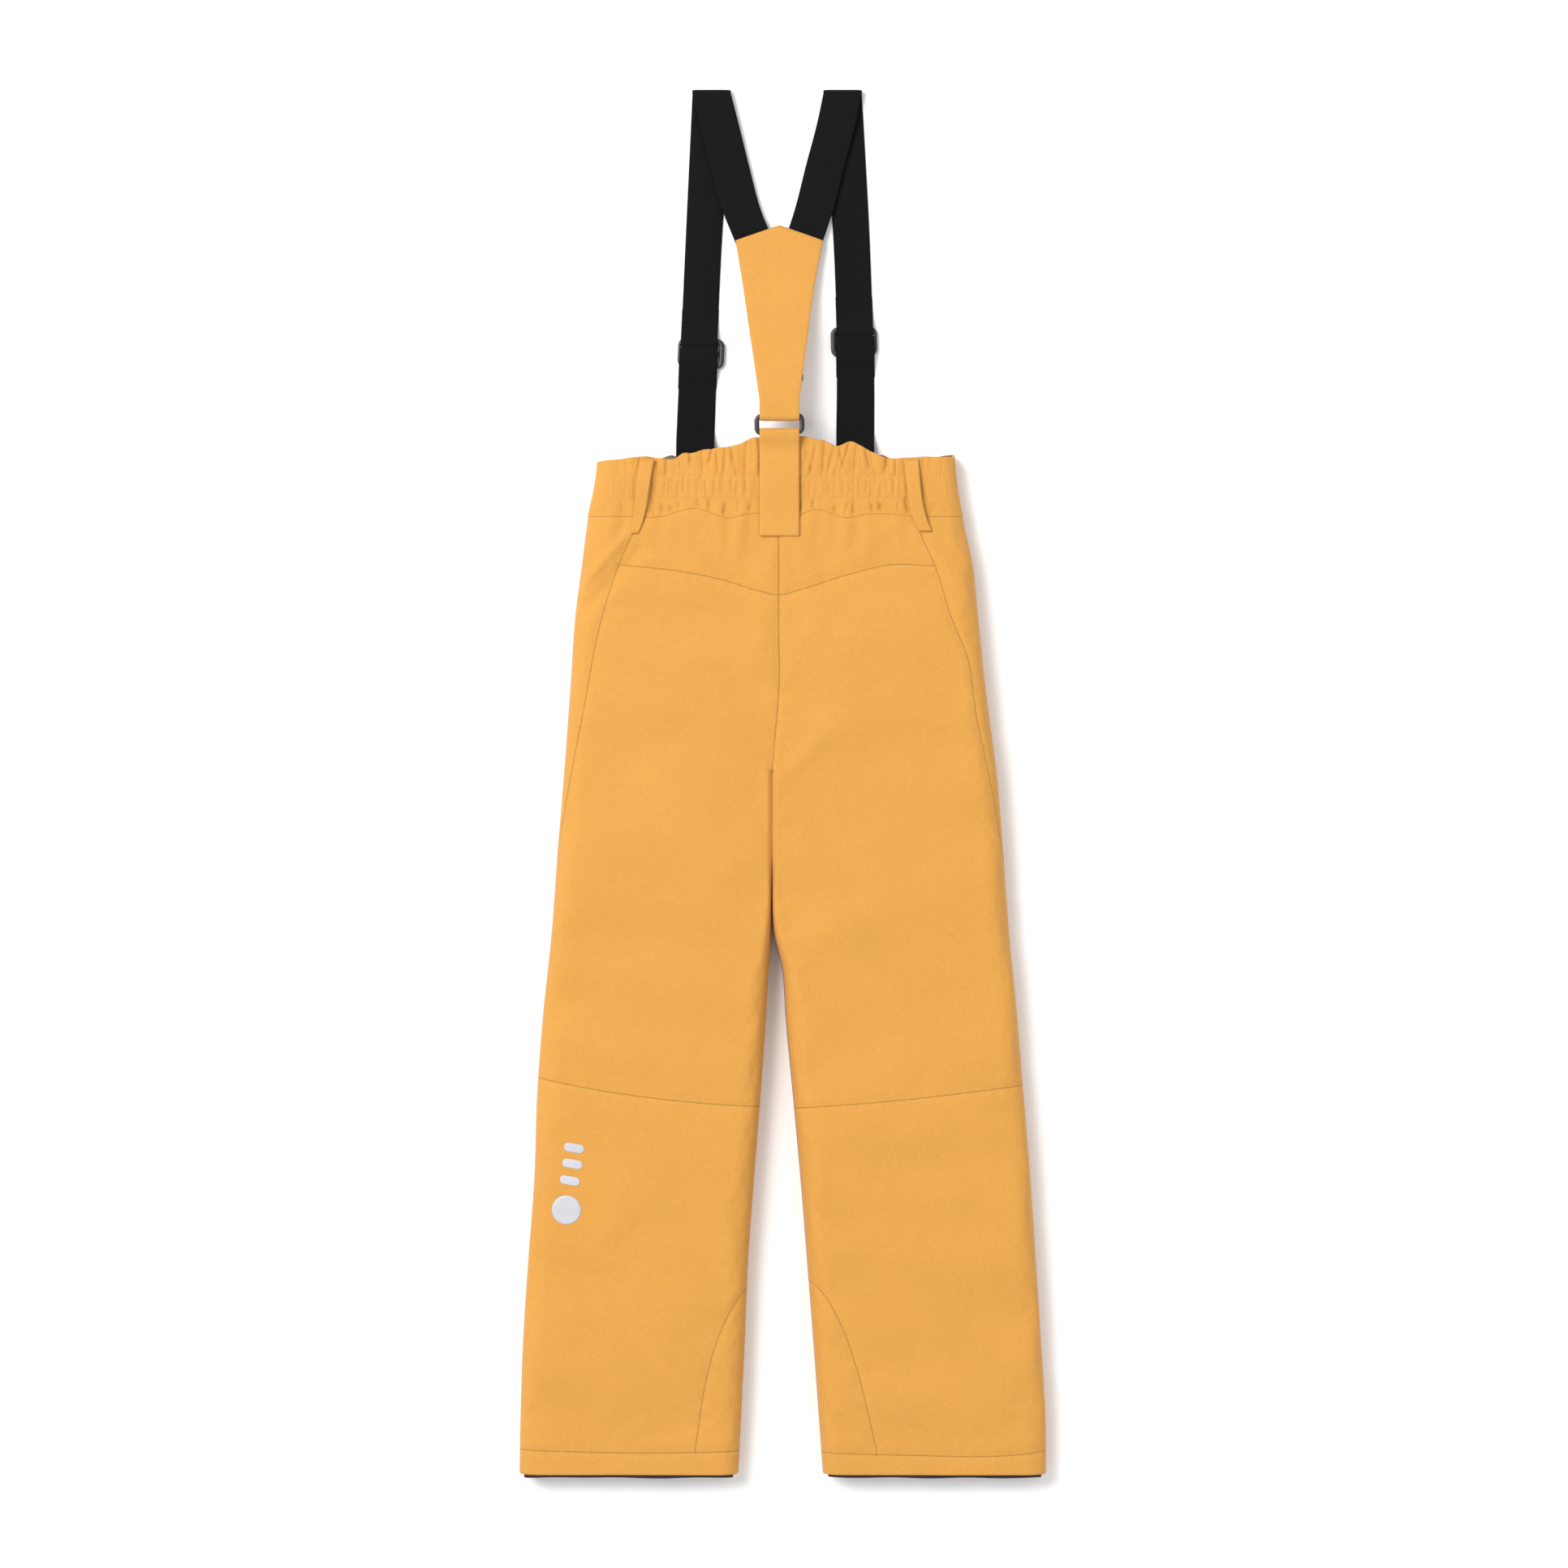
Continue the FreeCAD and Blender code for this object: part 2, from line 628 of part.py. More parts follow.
def build_belt_loop(side):
    """Strip sewn down at both ends, standing clear of the waistband between them."""
    middle, lean = ("-109.6", "1.8") if side == "left" else ("101", "-5")
    half = "belt_loop_width / 2"
    profile = prism(f"belt_loop_profile_{side}", [
        ("187", "31.2"),
        ("192", "30.9"),
        ("195", "32.2"),
        ("236", "29.2"),
        ("240", "27.6"),
        ("245", "27.2"),
        ("245", "28.8"),
        ("237", "31.2"),
        ("195", "34"),
        ("187", "32.8"),
    ], "YZ", "-far_side", "2 * far_side")
    outline = prism(f"belt_loop_outline_{side}", [
        (f"{middle} - {lean} - {half}", "186"),
        (f"{middle} - {lean} + {half}", "186"),
        (f"{middle} + {lean} + {half}", "246"),
        (f"{middle} + {lean} - {half}", "246"),
    ], "XY", LOW_Z, TALL)
    node(common(f"belt_loop_{side}_solid", profile, outline), f"belt_loop_{side}")


def build_trims():
    """Three reflective bars above a plain disc on the outer side of the left shin."""
    bars = []
    for index, (middle, height) in enumerate((("-157.7", "-273.5"), ("-158.9", "-285.4"), ("-160.8", "-298"))):
        straight = "bar_length - bar_height"
        bars.append(block(f"bar_middle{index}", (f"{middle} - ({straight}) / 2", f"{height} - bar_height / 2",
                                                 "leg_thick"),
                          (f"{middle} + ({straight}) / 2", f"{height} + bar_height / 2",
                           "leg_thick + trim_thickness")))
        for name, sign in (("left", "-"), ("right", "+")):
            bars.append(rod(f"bar_end{index}_{name}", (f"{middle} {sign} ({straight}) / 2", height,
                                                      "leg_thick + trim_thickness / 2"),
                            "z", "bar_height / 2", "trim_thickness"))
    node(fuse("reflective_bars_solid", *bars), "reflective_bars")
    node(rod("plain_disc_solid", ("-164", "-321", "leg_thick + trim_thickness / 2"), "z", "disc_radius",
             "trim_thickness"), "plain_disc")


def main():
    build_upper_garment()
    for side in ("left", "right"):
        build_lower_leg(side)
    build_fly()
    build_tab()
    build_ring()
    build_yoke()
    for side in ("left", "right"):
        build_braces(side)
        build_belt_loop(side)
    build_trims()
    document.recompute()
    export()


def export():
    os.makedirs("parts", exist_ok=True)
    for item in document.Objects:
        if "Invalid" in item.State or "Error" in item.State:
            raise RuntimeError(f"{item.Name} did not recompute: {item.State}")
    for item in NODES:
        shape = item.Shape
        if shape.isNull() or not shape.isValid() or shape.Volume <= 0:
            raise RuntimeError(f"{item.Label} has a bad shape")
        shape.exportStep(f"parts/{item.Label}.step")
        box = shape.BoundBox
        print(item.Label, len(shape.Solids), round(shape.Volume), [round(value, 1) for value in (
            box.XMin, box.XMax, box.YMin, box.YMax, box.ZMin, box.ZMax)])


main()
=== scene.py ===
import math

import bpy
import numpy as np
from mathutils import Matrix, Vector


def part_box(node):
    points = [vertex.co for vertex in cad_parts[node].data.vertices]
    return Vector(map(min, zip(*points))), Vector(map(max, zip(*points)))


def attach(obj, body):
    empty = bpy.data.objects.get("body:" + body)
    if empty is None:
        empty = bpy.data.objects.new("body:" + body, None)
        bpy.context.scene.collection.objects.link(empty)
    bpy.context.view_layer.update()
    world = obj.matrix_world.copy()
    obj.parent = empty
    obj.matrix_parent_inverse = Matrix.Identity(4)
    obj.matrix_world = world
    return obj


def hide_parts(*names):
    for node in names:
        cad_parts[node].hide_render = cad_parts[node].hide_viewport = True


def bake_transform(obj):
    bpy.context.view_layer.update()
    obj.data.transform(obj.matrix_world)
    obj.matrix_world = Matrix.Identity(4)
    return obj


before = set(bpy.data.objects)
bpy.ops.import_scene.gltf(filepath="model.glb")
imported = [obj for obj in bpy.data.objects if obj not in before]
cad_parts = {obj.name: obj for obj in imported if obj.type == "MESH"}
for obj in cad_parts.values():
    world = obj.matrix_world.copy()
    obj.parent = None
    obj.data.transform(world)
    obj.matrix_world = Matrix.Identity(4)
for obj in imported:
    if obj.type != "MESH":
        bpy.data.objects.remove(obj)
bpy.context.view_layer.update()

# Shapes are worked out in millimetres in the row frame: X across the waist, Y from hems to braces,
# Z up from the surface that the trousers lie on.
MM = 0.001
WAIST_Y = 201.0
CROTCH_Y = 9.0
GAP_Y = -112.0
HEM_Y = -519.5
MIDDLE_Z = 14.5
CENTRE_X = -4.0
LINING_INSET = 4.5

# Outline of the flat garment: (y, x) along each edge.
OUTER_LEFT = [
    (262, -141), (243, -141.5), (201, -148), (162, -153), (132, -157), (70, -161.5), (9, -166),
    (-52, -171), (-113, -175.5), (-175, -182), (-236, -186.5), (-297, -188.5), (-358, -193), (-420, -197),
    (-481, -199), (-530, -199.8),
]
OUTER_RIGHT = [
    (262, 128.5), (236, 130), (201, 135), (162, 143), (132, 146), (70, 152.5), (9, 160.5), (-52, 165.5),
    (-113, 170), (-175, 176), (-236, 181), (-297, 186), (-358, 190), (-420, 194), (-481, 197.5),
    (-530, 197.8),
]
INNER_LEFT = [
    (9, -9.05), (-60, -9.15), (-112, -9.6), (-144, -11.8), (-175, -13.6), (-236, -17.8), (-297, -22.6),
    (-358, -27), (-420, -29.6), (-481, -32.6), (-530, -35),
]
INNER_RIGHT = [
    (9, -8.95), (-60, -8.85), (-112, -7.9), (-139, -1.6), (-175, 1), (-236, 6.7), (-297, 12.3),
    (-358, 17.2), (-420, 22), (-481, 26.5), (-530, 30),
]
THICKNESS = [(262, 25), (201, 29), (132, 32.5), (9, 33.5), (-112, 31.5), (-358, 31), (-480, 28), (-530, 26.5)]

# Sewn lines seen on the back: (x, y) along each seam.
SEAMS = {
    "yoke": [
        (-122, 164.6), (-73.5, 159), (-41, 152), (-19, 145), (-4, 142), (11.6, 146), (50, 158), (81, 165),
        (111.5, 164),
    ],
    "side_left": [(-108, 198), (-114, 187), (-124, 165), (-137, 124), (-151, 53), (-163, -9), (-172, -60)],
    "side_right": [
        (98, 198), (103, 187), (113, 165), (126, 124), (138, 94), (144, 53), (156, -3), (166, -60),
    ],
    "centre": [(-4, 190), (-4, 120), (-4.1, 66), (-6.4, 40), (-9, 9)],
    "knee_left": [(-190, -220), (-140, -230), (-61, -240), (-15, -243)],
    "knee_right": [(4, -244), (84, -238), (184, -226)],
    "ankle_left": [(-24, -374), (-32, -384), (-41, -398), (-50, -418), (-57, -442), (-67, -502)],
    "ankle_right": [(17, -372), (28, -381), (37, -395), (46, -414), (54, -438), (70, -503)],
    "hem_left": [(-205, -501), (-110, -503.5), (-28, -502)],
    "hem_right": [(24, -503), (95, -505), (170, -505), (205, -501)],
}
# Single rows of stitching beside the seams.
STITCH_ROWS = {
    "centre": [(-10, 141), (-10, 62)],
}
# Soft folds in the cloth: (from x, y), (to x, y), half-width, height.
FOLDS = [
    ((-117, 188), (-156, 145), 3.6, 2.0),
    ((-109, 176), (-148, 132), 5.0, -1.6),
    ((-98, 196), (-62, 172), 6.0, 1.0),
    ((104, 186), (142, 140), 7.0, 1.1),
    ((82, 196), (52, 168), 7.0, 0.9),
    ((-3, 185), (-22, 90), 9.0, 0.9),
    ((10, 186), (26, 120), 9.0, 0.8),
    ((-12, 8), (-48, 46), 10.0, 0.8),
    ((-2, 2), (34, 44), 10.0, 0.8),
    ((-14, -20), (-60, -90), 14.0, 0.7),
    ((6, -20), (48, -96), 14.0, 0.7),
    ((-150, -196), (-60, -212), 14.0, 0.6),
    ((150, -190), (50, -214), 14.0, 0.6),
    ((-170, -262), (-90, -282), 16.0, 0.5),
    ((60, -276), (150, -262), 16.0, 0.5),
    ((-120, -330), (-96, -470), 22.0, 0.7),
    ((110, -320), (126, -470), 22.0, 0.7),
]


def smooth(points, at):
    """Cubic curve through (position, value) points, read at many positions."""
    points = sorted(points)
    place = np.array([p[0] for p in points], float)
    value = np.array([p[1] for p in points], float)
    slope = np.gradient(value, place)
    at = np.clip(np.asarray(at, float), place[0], place[-1])
    index = np.clip(np.searchsorted(place, at) - 1, 0, len(place) - 2)
    step = place[index + 1] - place[index]
    part = (at - place[index]) / step
    part2, part3 = part**2, part**3
    return (
        (2 * part3 - 3 * part2 + 1) * value[index]
        + (part3 - 2 * part2 + part) * step * slope[index]
        + (3 * part2 - 2 * part3) * value[index + 1]
        + (part3 - part2) * step * slope[index + 1]
    )


def curve(points, gap=3.0):
    """Even points along a smooth curve through the given ones, in two or three dimensions."""
    points = np.asarray(points, float)
    length = np.concatenate([[0], np.cumsum(np.linalg.norm(np.diff(points, axis=0), axis=1))])
    at = np.linspace(0, length[-1], max(int(length[-1] / gap), 2) + 1)
    return np.stack([smooth(list(zip(length, column)), at) for column in points.T], 1)


def step_between(value, low, high):
    part = np.clip((value - low) / (high - low), 0, 1)
    return part * part * (3 - 2 * part)


def bump(value, width):
    return np.exp(-((value / width) ** 2))


def line_distance(x, y, line):
    """Signed distance to a line of points, and the length along it."""
    best = np.full(np.shape(x), 1e9)
    signed = np.zeros(np.shape(x))
    along = np.zeros(np.shape(x))
    passed = 0.0
    for (x0, y0), (x1, y1) in zip(line, line[1:]):
        length = math.hypot(x1 - x0, y1 - y0)
        dx, dy = (x1 - x0) / length, (y1 - y0) / length
        run = np.clip((x - x0) * dx + (y - y0) * dy, 0, length)
        away = np.hypot(x - x0 - run * dx, y - y0 - run * dy)
        side = np.sign((x - x0) * dy - (y - y0) * dx)
        nearer = away < best
        best = np.where(nearer, away, best)
        signed = np.where(nearer, away * np.where(side == 0, 1, side), signed)
        along = np.where(nearer, passed + run, along)
        passed += length
    return signed, along


def waves(x, y, size, seed):
    """Smooth repeatable unevenness, about -1 to 1, with features of that size."""
    draw = np.random.default_rng(seed)
    total = np.zeros(np.shape(x))
    for _ in range(7):
        angle = draw.uniform(0, math.pi)
        length = size * draw.uniform(0.7, 1.6)
        turn = 2 * math.pi / length
        total += np.sin(x * math.cos(angle) * turn + y * math.sin(angle) * turn + draw.uniform(0, 6.3))
    return total / 3.5


def waist_seam_y(x):
    """Height of the wavy seam under the elastic waistband."""
    return (
        WAIST_Y
        + 6.0 * bump(x + 68, 17)
        + 5.0 * bump(x - 25, 12)
        + 2.5 * bump(x + 20, 14)
        - 2.0 * bump(x + 44, 10)
        + 2.2 * bump(x - 72, 18)
        - 1.5 * bump(x - 48, 8)
        - 1.0 * bump(x + 96, 12)
    )


def edge_round(distance, radius):
    """Profile of a soft edge: 0 at the edge, 1 further in than radius."""
    part = 1 - np.clip(distance / radius, 0, 1)
    return (1 - part**2.4) ** (1 / 2.4)


def seam_dip(x, y):
    """Cloth pulled in along every seam, with small puckers along it."""
    total = np.zeros(np.shape(x))
    for line in SEAMS.values():
        distance, along = line_distance(x, y, curve(line, 8.0))
        pucker = 0.16 * np.sin(along * 2 * math.pi / 9.0 + 1.5 * np.sin(along / 31.0)) * bump(distance, 6.0)
        total = np.maximum(total, 0.75 * bump(distance, 2.8)) + pucker
    return total + 0.9 * bump(y - waist_seam_y(x), 3.0)


def relief(x, y):
    """Folds, seams and unevenness of the back's surface, in millimetres."""
    total = 0.9 * waves(x, y, 150, 3) + 0.45 * waves(x, y, 55, 8)
    for start, end, width, height in FOLDS:
        distance, _ = line_distance(x, y, [start, end])
        total = total + height * bump(distance, width)
    gathers = waves(x * 1.6, y * 0.35, 22, 14) * step_between(y, 160, 204)
    total = total + 0.9 * gathers
    return total - seam_dip(x, y)


def thickness(y):
    return smooth(THICKNESS, y)


def centre_seam_x(y):
    """Line where the two halves of the seat meet: it bends a little to the left at the crotch."""
    return CENTRE_X - 5.0 * step_between(-y, -70, -CROTCH_Y)


def side_edges(side, y):
    """Outer and inner edge of one side of the garment, leg or hip."""
    outer, inner = (OUTER_LEFT, INNER_LEFT) if side == "left" else (OUTER_RIGHT, INNER_RIGHT)
    return smooth(outer, y), np.where(y >= CROTCH_Y, centre_seam_x(y), smooth(inner, y))


def inner_distance(side, x, y):
    """Distance to the leg's inner edge, or to the crotch above it."""
    edge = smooth(INNER_LEFT if side == "left" else INNER_RIGHT, np.minimum(y, CROTCH_Y))
    return np.hypot(np.abs(x - edge), np.maximum(y - CROTCH_Y, 0))


def fullness(side, x, y):
    """How full the garment is at (x, y): 0 at its edges, 1 away from them."""
    outer, _ = side_edges(side, y)
    outer_part = edge_round(np.abs(x - outer), 19.0)
    radius = 3.2 + 15.0 * step_between(-y, 80, 190)
    pressed = 0.84 * step_between(y, -116, -50)
    inner_part = np.maximum(edge_round(inner_distance(side, x, y), radius), pressed)
    return outer_part * inner_part


def top_height(side, x, y, inset=0.0):
    part = fullness(side, x, y)
    high = MIDDLE_Z + (thickness(y) - MIDDLE_Z) * part - inset * step_between(part, 0, 0.5)
    if not inset:
        high = high + relief(x, y) * step_between(part, 0.35, 1.0)
    return np.maximum(high, MIDDLE_Z + 0.2 * part)


def bottom_height(side, x, y, inset=0.0):
    part = fullness(side, x, y)
    low = MIDDLE_Z - (MIDDLE_Z - 0.6) * part + inset * step_between(part, 0, 0.5)
    return np.minimum(low, MIDDLE_Z - 0.2 * part)


def back_height(x, y):
    """Top surface at single places, for pieces sewn onto it."""
    x, y = np.asarray(x, float), np.asarray(y, float)
    return np.where(x < centre_seam_x(y), top_height("left", x, y), top_height("right", x, y))


def new_object(name, points, faces, material, body=None):
    mesh = bpy.data.meshes.new(name)
    mesh.from_pydata([tuple(p) for p in np.asarray(points) * MM], [], faces)
    mesh.validate()
    mesh.polygons.foreach_set("use_smooth", [True] * len(mesh.polygons))
    item = bpy.data.objects.new(name, mesh)
    bpy.context.scene.collection.objects.link(item)
    rest = mesh.attributes.new("rest", "FLOAT_VECTOR", "POINT")
    rest.data.foreach_set("vector", np.array([v.co for v in mesh.vertices]).ravel())
    mesh.materials.append(material)
    if body:
        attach(item, body)
    return item


def grid_faces(rows, columns, wrap_from=None):
    """Faces of a grid of points; from row wrap_from on, its last column joins its first."""
    faces = []
    for row in range(rows - 1):
        wrapped = wrap_from is not None and row >= wrap_from
        for column in range(columns if wrapped else columns - 1):
            near = row * columns + column
            beside = row * columns + (column + 1) % columns
            faces.append((near, beside, beside + columns, near + columns))
    return faces


def add_float(item, name, values):
    attribute = item.data.attributes.new(name, "FLOAT", "POINT")
    attribute.data.foreach_set("value", np.asarray(values, np.float32).ravel())


NEAR_SEAM = 4.2
CROSS_SEAMS = ("yoke", "knee_left", "knee_right", "hem_left", "hem_right")
LONG_SEAMS = ("side_left", "side_right", "centre", "ankle_left", "ankle_right")


def nearest_line(lines, x, y):
    """Signed distance to the nearest of several lines, and the length along it."""
    best = np.full(np.shape(x), 99.0)
    along = np.zeros(np.shape(x))
    for line in lines:
        distance, run = line_distance(x, y, curve(line, 7.0))
        nearer = np.abs(distance) < np.abs(best)
        best = np.where(nearer, distance, best)
        along = np.where(nearer, run, along)
    return best, along


def add_sewing(item, kind, distance, along, shown):
    """Values that the fabric's material draws a seam or a row of stitches from."""
    add_float(item, kind, distance)
    add_float(item, kind + "_run", along)
    add_float(item, kind + "_near", np.where(shown & (np.abs(distance) < NEAR_SEAM), 1.0, 0.0))


# ---------------------------------------------------------------- materials


class Nodes:
    """Short way to build a shader's node tree."""

    def __init__(self, name):
        self.material = bpy.data.materials.new(name)
        self.material.use_nodes = True
        self.tree = self.material.node_tree
        self.shader = self.tree.nodes["Principled BSDF"]

    def add(self, kind, inputs=None, **settings):
        node = self.tree.nodes.new(kind)
        for key, value in settings.items():
            setattr(node, key, value)
        for key, value in (inputs or {}).items():
            self.put(node.inputs[key], value)
        return node

    def put(self, socket, value):
        if isinstance(value, bpy.types.NodeSocket):
            self.tree.links.new(value, socket)
        else:
            socket.default_value = value

    def math(self, operation, first, second=0.0, third=0.0):
        node = self.tree.nodes.new("ShaderNodeMath")
        node.operation = operation
        for socket, value in zip(node.inputs, (first, second, third)):
            self.put(socket, value)
        return node.outputs[0]

    def attribute(self, name, output="Fac"):
        return self.add("ShaderNodeAttribute", attribute_name=name).outputs[output]

    def noise(self, vector, scale, detail=2.0, roughness=0.5):
        node = self.add("ShaderNodeTexNoise", {"Vector": vector, "Scale": scale, "Detail": detail,
                                               "Roughness": roughness})
        return node.outputs["Fac"]

    def mix(self, factor, first, second):
        node = self.add("ShaderNodeMix", data_type="RGBA")
        self.put(node.inputs[0], factor)
        self.put(node.inputs[6], first)
        self.put(node.inputs[7], second)
        return node.outputs[2]

    def stretch(self, vector, scale):
        node = self.add("ShaderNodeMapping", {"Vector": vector, "Scale": scale})
        return node.outputs[0]

    def window(self, value, centre, half, soft):
        """1 where value is within half of centre, falling to 0 over soft."""
        away = self.math("ABSOLUTE", self.math("SUBTRACT", value, centre))
        node = self.add("ShaderNodeMapRange", {"Value": away, "From Min": half, "From Max": half + soft,
                                               "To Min": 1.0, "To Max": 0.0}, clamp=True)
        return node.outputs[0]

    def bump(self, height, strength, distance, normal=None):
        node = self.add("ShaderNodeBump", {"Height": height, "Strength": strength, "Distance": distance})
        if normal is not None:
            self.tree.links.new(normal, node.inputs["Normal"])
        return node.outputs[0]

    def finish(self, colour, normal=None, **constants):
        self.put(self.shader.inputs["Base Color"], colour)
        if normal is not None:
            self.tree.links.new(normal, self.shader.inputs["Normal"])
        for key, value in constants.items():
            self.put(self.shader.inputs[key.replace("_", " ")], value)
        return self.material


def shade(colour, factor):
    return (colour[0] * factor, colour[1] * factor, colour[2] * factor, 1.0)


AMBER = (0.612, 0.290, 0.0552)
THREAD = (0.80, 0.50, 0.17)
BLACK = (0.0040, 0.0035, 0.0041)


def weave(nodes, place, pitch_mm):
    """Height of a fine plain weave: crossing threads, uneven along their length."""
    turns = 2 * math.pi / (pitch_mm * MM)
    split = nodes.add("ShaderNodeSeparateXYZ", {"Vector": place})
    across = nodes.math("SINE", nodes.math("MULTIPLY", split.outputs[0], turns))
    along = nodes.math("SINE", nodes.math("MULTIPLY", split.outputs[1], turns))
    product = nodes.math("MULTIPLY", across, along)
    return nodes.math("MULTIPLY_ADD", product, 0.5, 0.5)


def shell_fabric(name, colour=AMBER, seams=True):
    """Matte brushed polyester with a faint two-tone thread, plus seams and stitching where asked, whose sunk
    lines carry painted shade.
    """
    nodes = Nodes(name)
    place = nodes.attribute("rest", "Vector")
    warp = nodes.noise(nodes.stretch(place, (1800.0, 260.0, 900.0)), 1.0, 2.0, 0.6)
    weft = nodes.noise(nodes.stretch(place, (240.0, 1900.0, 900.0)), 1.0, 2.0, 0.6)
    threads = nodes.math("ADD", warp, weft)
    patches = nodes.noise(place, 26.0, 3.0, 0.55)
    tone = nodes.math("MULTIPLY_ADD", nodes.math("SUBTRACT", threads, 1.0), 0.85, 0.5)
    tone = nodes.math("MULTIPLY_ADD", nodes.math("SUBTRACT", patches, 0.5), 0.35, tone)
    tone_clamped = nodes.add("ShaderNodeClamp", {"Value": tone}).outputs[0]
    base = nodes.mix(tone_clamped, shade(colour, 0.85), shade(colour, 1.12))
    height = nodes.math("MULTIPLY_ADD", weave(nodes, place, 0.9), 0.35, nodes.math("MULTIPLY", threads, 0.5))
    normal = nodes.bump(height, 0.22, 0.0004)
    if seams:
        base, normal = add_stitching(nodes, base, normal, colour)
    return nodes.finish(base, normal, Roughness=0.82, Sheen_Weight=0.12, Sheen_Roughness=0.5,
                        Specular_IOR_Level=0.25)


def sewn_line(nodes, kind, offset, half):
    """Strength of a line at some distance beside the seams of one kind, and its stitches."""
    near = nodes.math("GREATER_THAN", nodes.attribute(kind + "_near"), 0.5)
    line = nodes.math("MULTIPLY", nodes.window(nodes.attribute(kind), offset, half, half + 0.1), near)
    return line, nodes.math("MULTIPLY", line, stitch_dashes(nodes, nodes.attribute(kind + "_run")))


def add_stitching(nodes, base, normal, colour):
    """Sunk seam lines with lockstitches beside them, and single rows of stitches; the sunk lines are darkened
    with painted shade.
    """
    cross, _ = sewn_line(nodes, "cross", 0.0, 0.15)
    long, _ = sewn_line(nodes, "long", 0.0, 0.15)
    groove_and_painted_shade = nodes.math("MAXIMUM", cross, long)
    channel_and_painted_shade, thread = sewn_line(nodes, "row", 0.0, 0.2)
    for kind in ("cross", "long"):
        more_channel_and_painted_shade, more_thread = sewn_line(nodes, kind, 2.3, 0.2)
        channel_and_painted_shade = nodes.math("MAXIMUM", channel_and_painted_shade, more_channel_and_painted_shade)
        thread = nodes.math("MAXIMUM", thread, more_thread)
    # Painted shade: the seam groove is darkened towards half the cloth colour, as shade in the crease of the
    # seam.
    base = nodes.mix(nodes.math("MULTIPLY", groove_and_painted_shade, 0.42), base, shade(colour, 0.5))
    # Painted shade: the stitch channels are darkened a little, as shade in their shallow dip.
    base = nodes.mix(nodes.math("MULTIPLY", channel_and_painted_shade, 0.16), base, shade(colour, 0.75))
    base = nodes.mix(nodes.math("MULTIPLY", thread, 0.32), base, shade(THREAD, 1.0))
    height = nodes.math("MULTIPLY_ADD", channel_and_painted_shade, -0.35, nodes.math("MULTIPLY", groove_and_painted_shade, -1.0))
    height = nodes.math("MULTIPLY_ADD", thread, 0.55, height)
    return base, nodes.bump(height, 0.8, 0.0005, normal)


def stitch_dashes(nodes, run):
    return nodes.window(nodes.math("FRACT", nodes.math("DIVIDE", run, 2.4)), 0.5, 0.28, 0.1)


def webbing_material():
    """Black elastic webbing with fine ribs across it."""
    nodes = Nodes("webbing_black")
    place = nodes.attribute("rest", "Vector")
    split = nodes.add("ShaderNodeSeparateXYZ", {"Vector": place})
    ribs = nodes.math("SINE", nodes.math("MULTIPLY", split.outputs[1], 2 * math.pi / 0.0011))
    lines = nodes.math("SINE", nodes.math("MULTIPLY", split.outputs[0], 2 * math.pi / 0.0014))
    fuzz = nodes.noise(place, 900.0, 3.0, 0.6)
    height = nodes.math("MULTIPLY_ADD", ribs, 0.3, nodes.math("MULTIPLY_ADD", lines, 0.15, fuzz))
    base = nodes.mix(fuzz, shade(BLACK, 0.75), shade(BLACK, 1.7))
    return nodes.finish(base, nodes.bump(height, 0.45, 0.0004), Roughness=0.85, Sheen_Weight=0.02,
                        Specular_IOR_Level=0.12)


def plastic_material():
    nodes = Nodes("plastic_black")
    place = nodes.add("ShaderNodeTexCoord").outputs["Object"]
    grain = nodes.noise(place, 1400.0, 2.0, 0.5)
    scuffs = nodes.noise(nodes.stretch(place, (60.0, 400.0, 60.0)), 1.0, 4.0, 0.7)
    base = nodes.mix(scuffs, (0.010, 0.010, 0.012, 1.0), (0.022, 0.022, 0.025, 1.0))
    rough = nodes.math("MULTIPLY_ADD", scuffs, 0.22, 0.27)
    return nodes.finish(base, nodes.bump(grain, 0.15, 0.0002), Roughness=rough)


def plain_cloth(name, colour, roughness=0.8):
    """Lining, tape or elastic: an even fine weave."""
    nodes = Nodes(name)
    place = nodes.add("ShaderNodeTexCoord").outputs["Object"]
    tone = nodes.noise(nodes.stretch(place, (1500.0, 500.0, 900.0)), 1.0, 2.0, 0.6)
    base = nodes.mix(tone, shade(colour, 0.8), shade(colour, 1.2))
    height = nodes.math("MULTIPLY_ADD", weave(nodes, place, 0.7), 0.5, tone)
    return nodes.finish(base, nodes.bump(height, 0.25, 0.0003), Roughness=roughness)


def reflective_material():
    """Pale grey retroreflective film: tiny glass beads under a satin face."""
    nodes = Nodes("reflective_film")
    place = nodes.attribute("rest", "Vector")
    beads = nodes.add("ShaderNodeTexVoronoi", {"Vector": place, "Scale": 2600.0}).outputs["Distance"]
    cloudy = nodes.noise(place, 120.0, 3.0, 0.6)
    base = nodes.mix(cloudy, (0.47, 0.465, 0.50, 1.0), (0.57, 0.565, 0.605, 1.0))
    rough = nodes.math("MULTIPLY_ADD", beads, 0.2, 0.32)
    return nodes.finish(base, nodes.bump(beads, 0.2, 0.0002), Roughness=rough, Metallic=0.1)


def snap_material():
    nodes = Nodes("snap_steel")
    place = nodes.add("ShaderNodeTexCoord").outputs["Object"]
    brushed = nodes.noise(nodes.stretch(place, (2400.0, 200.0, 200.0)), 1.0, 3.0, 0.6)
    base = nodes.mix(brushed, (0.42, 0.42, 0.43, 1.0), (0.58, 0.58, 0.60, 1.0))
    rough = nodes.math("MULTIPLY_ADD", brushed, 0.25, 0.22)
    return nodes.finish(base, nodes.bump(brushed, 0.1, 0.0001), Roughness=rough, Metallic=1.0)


# ---------------------------------------------------------------- trousers


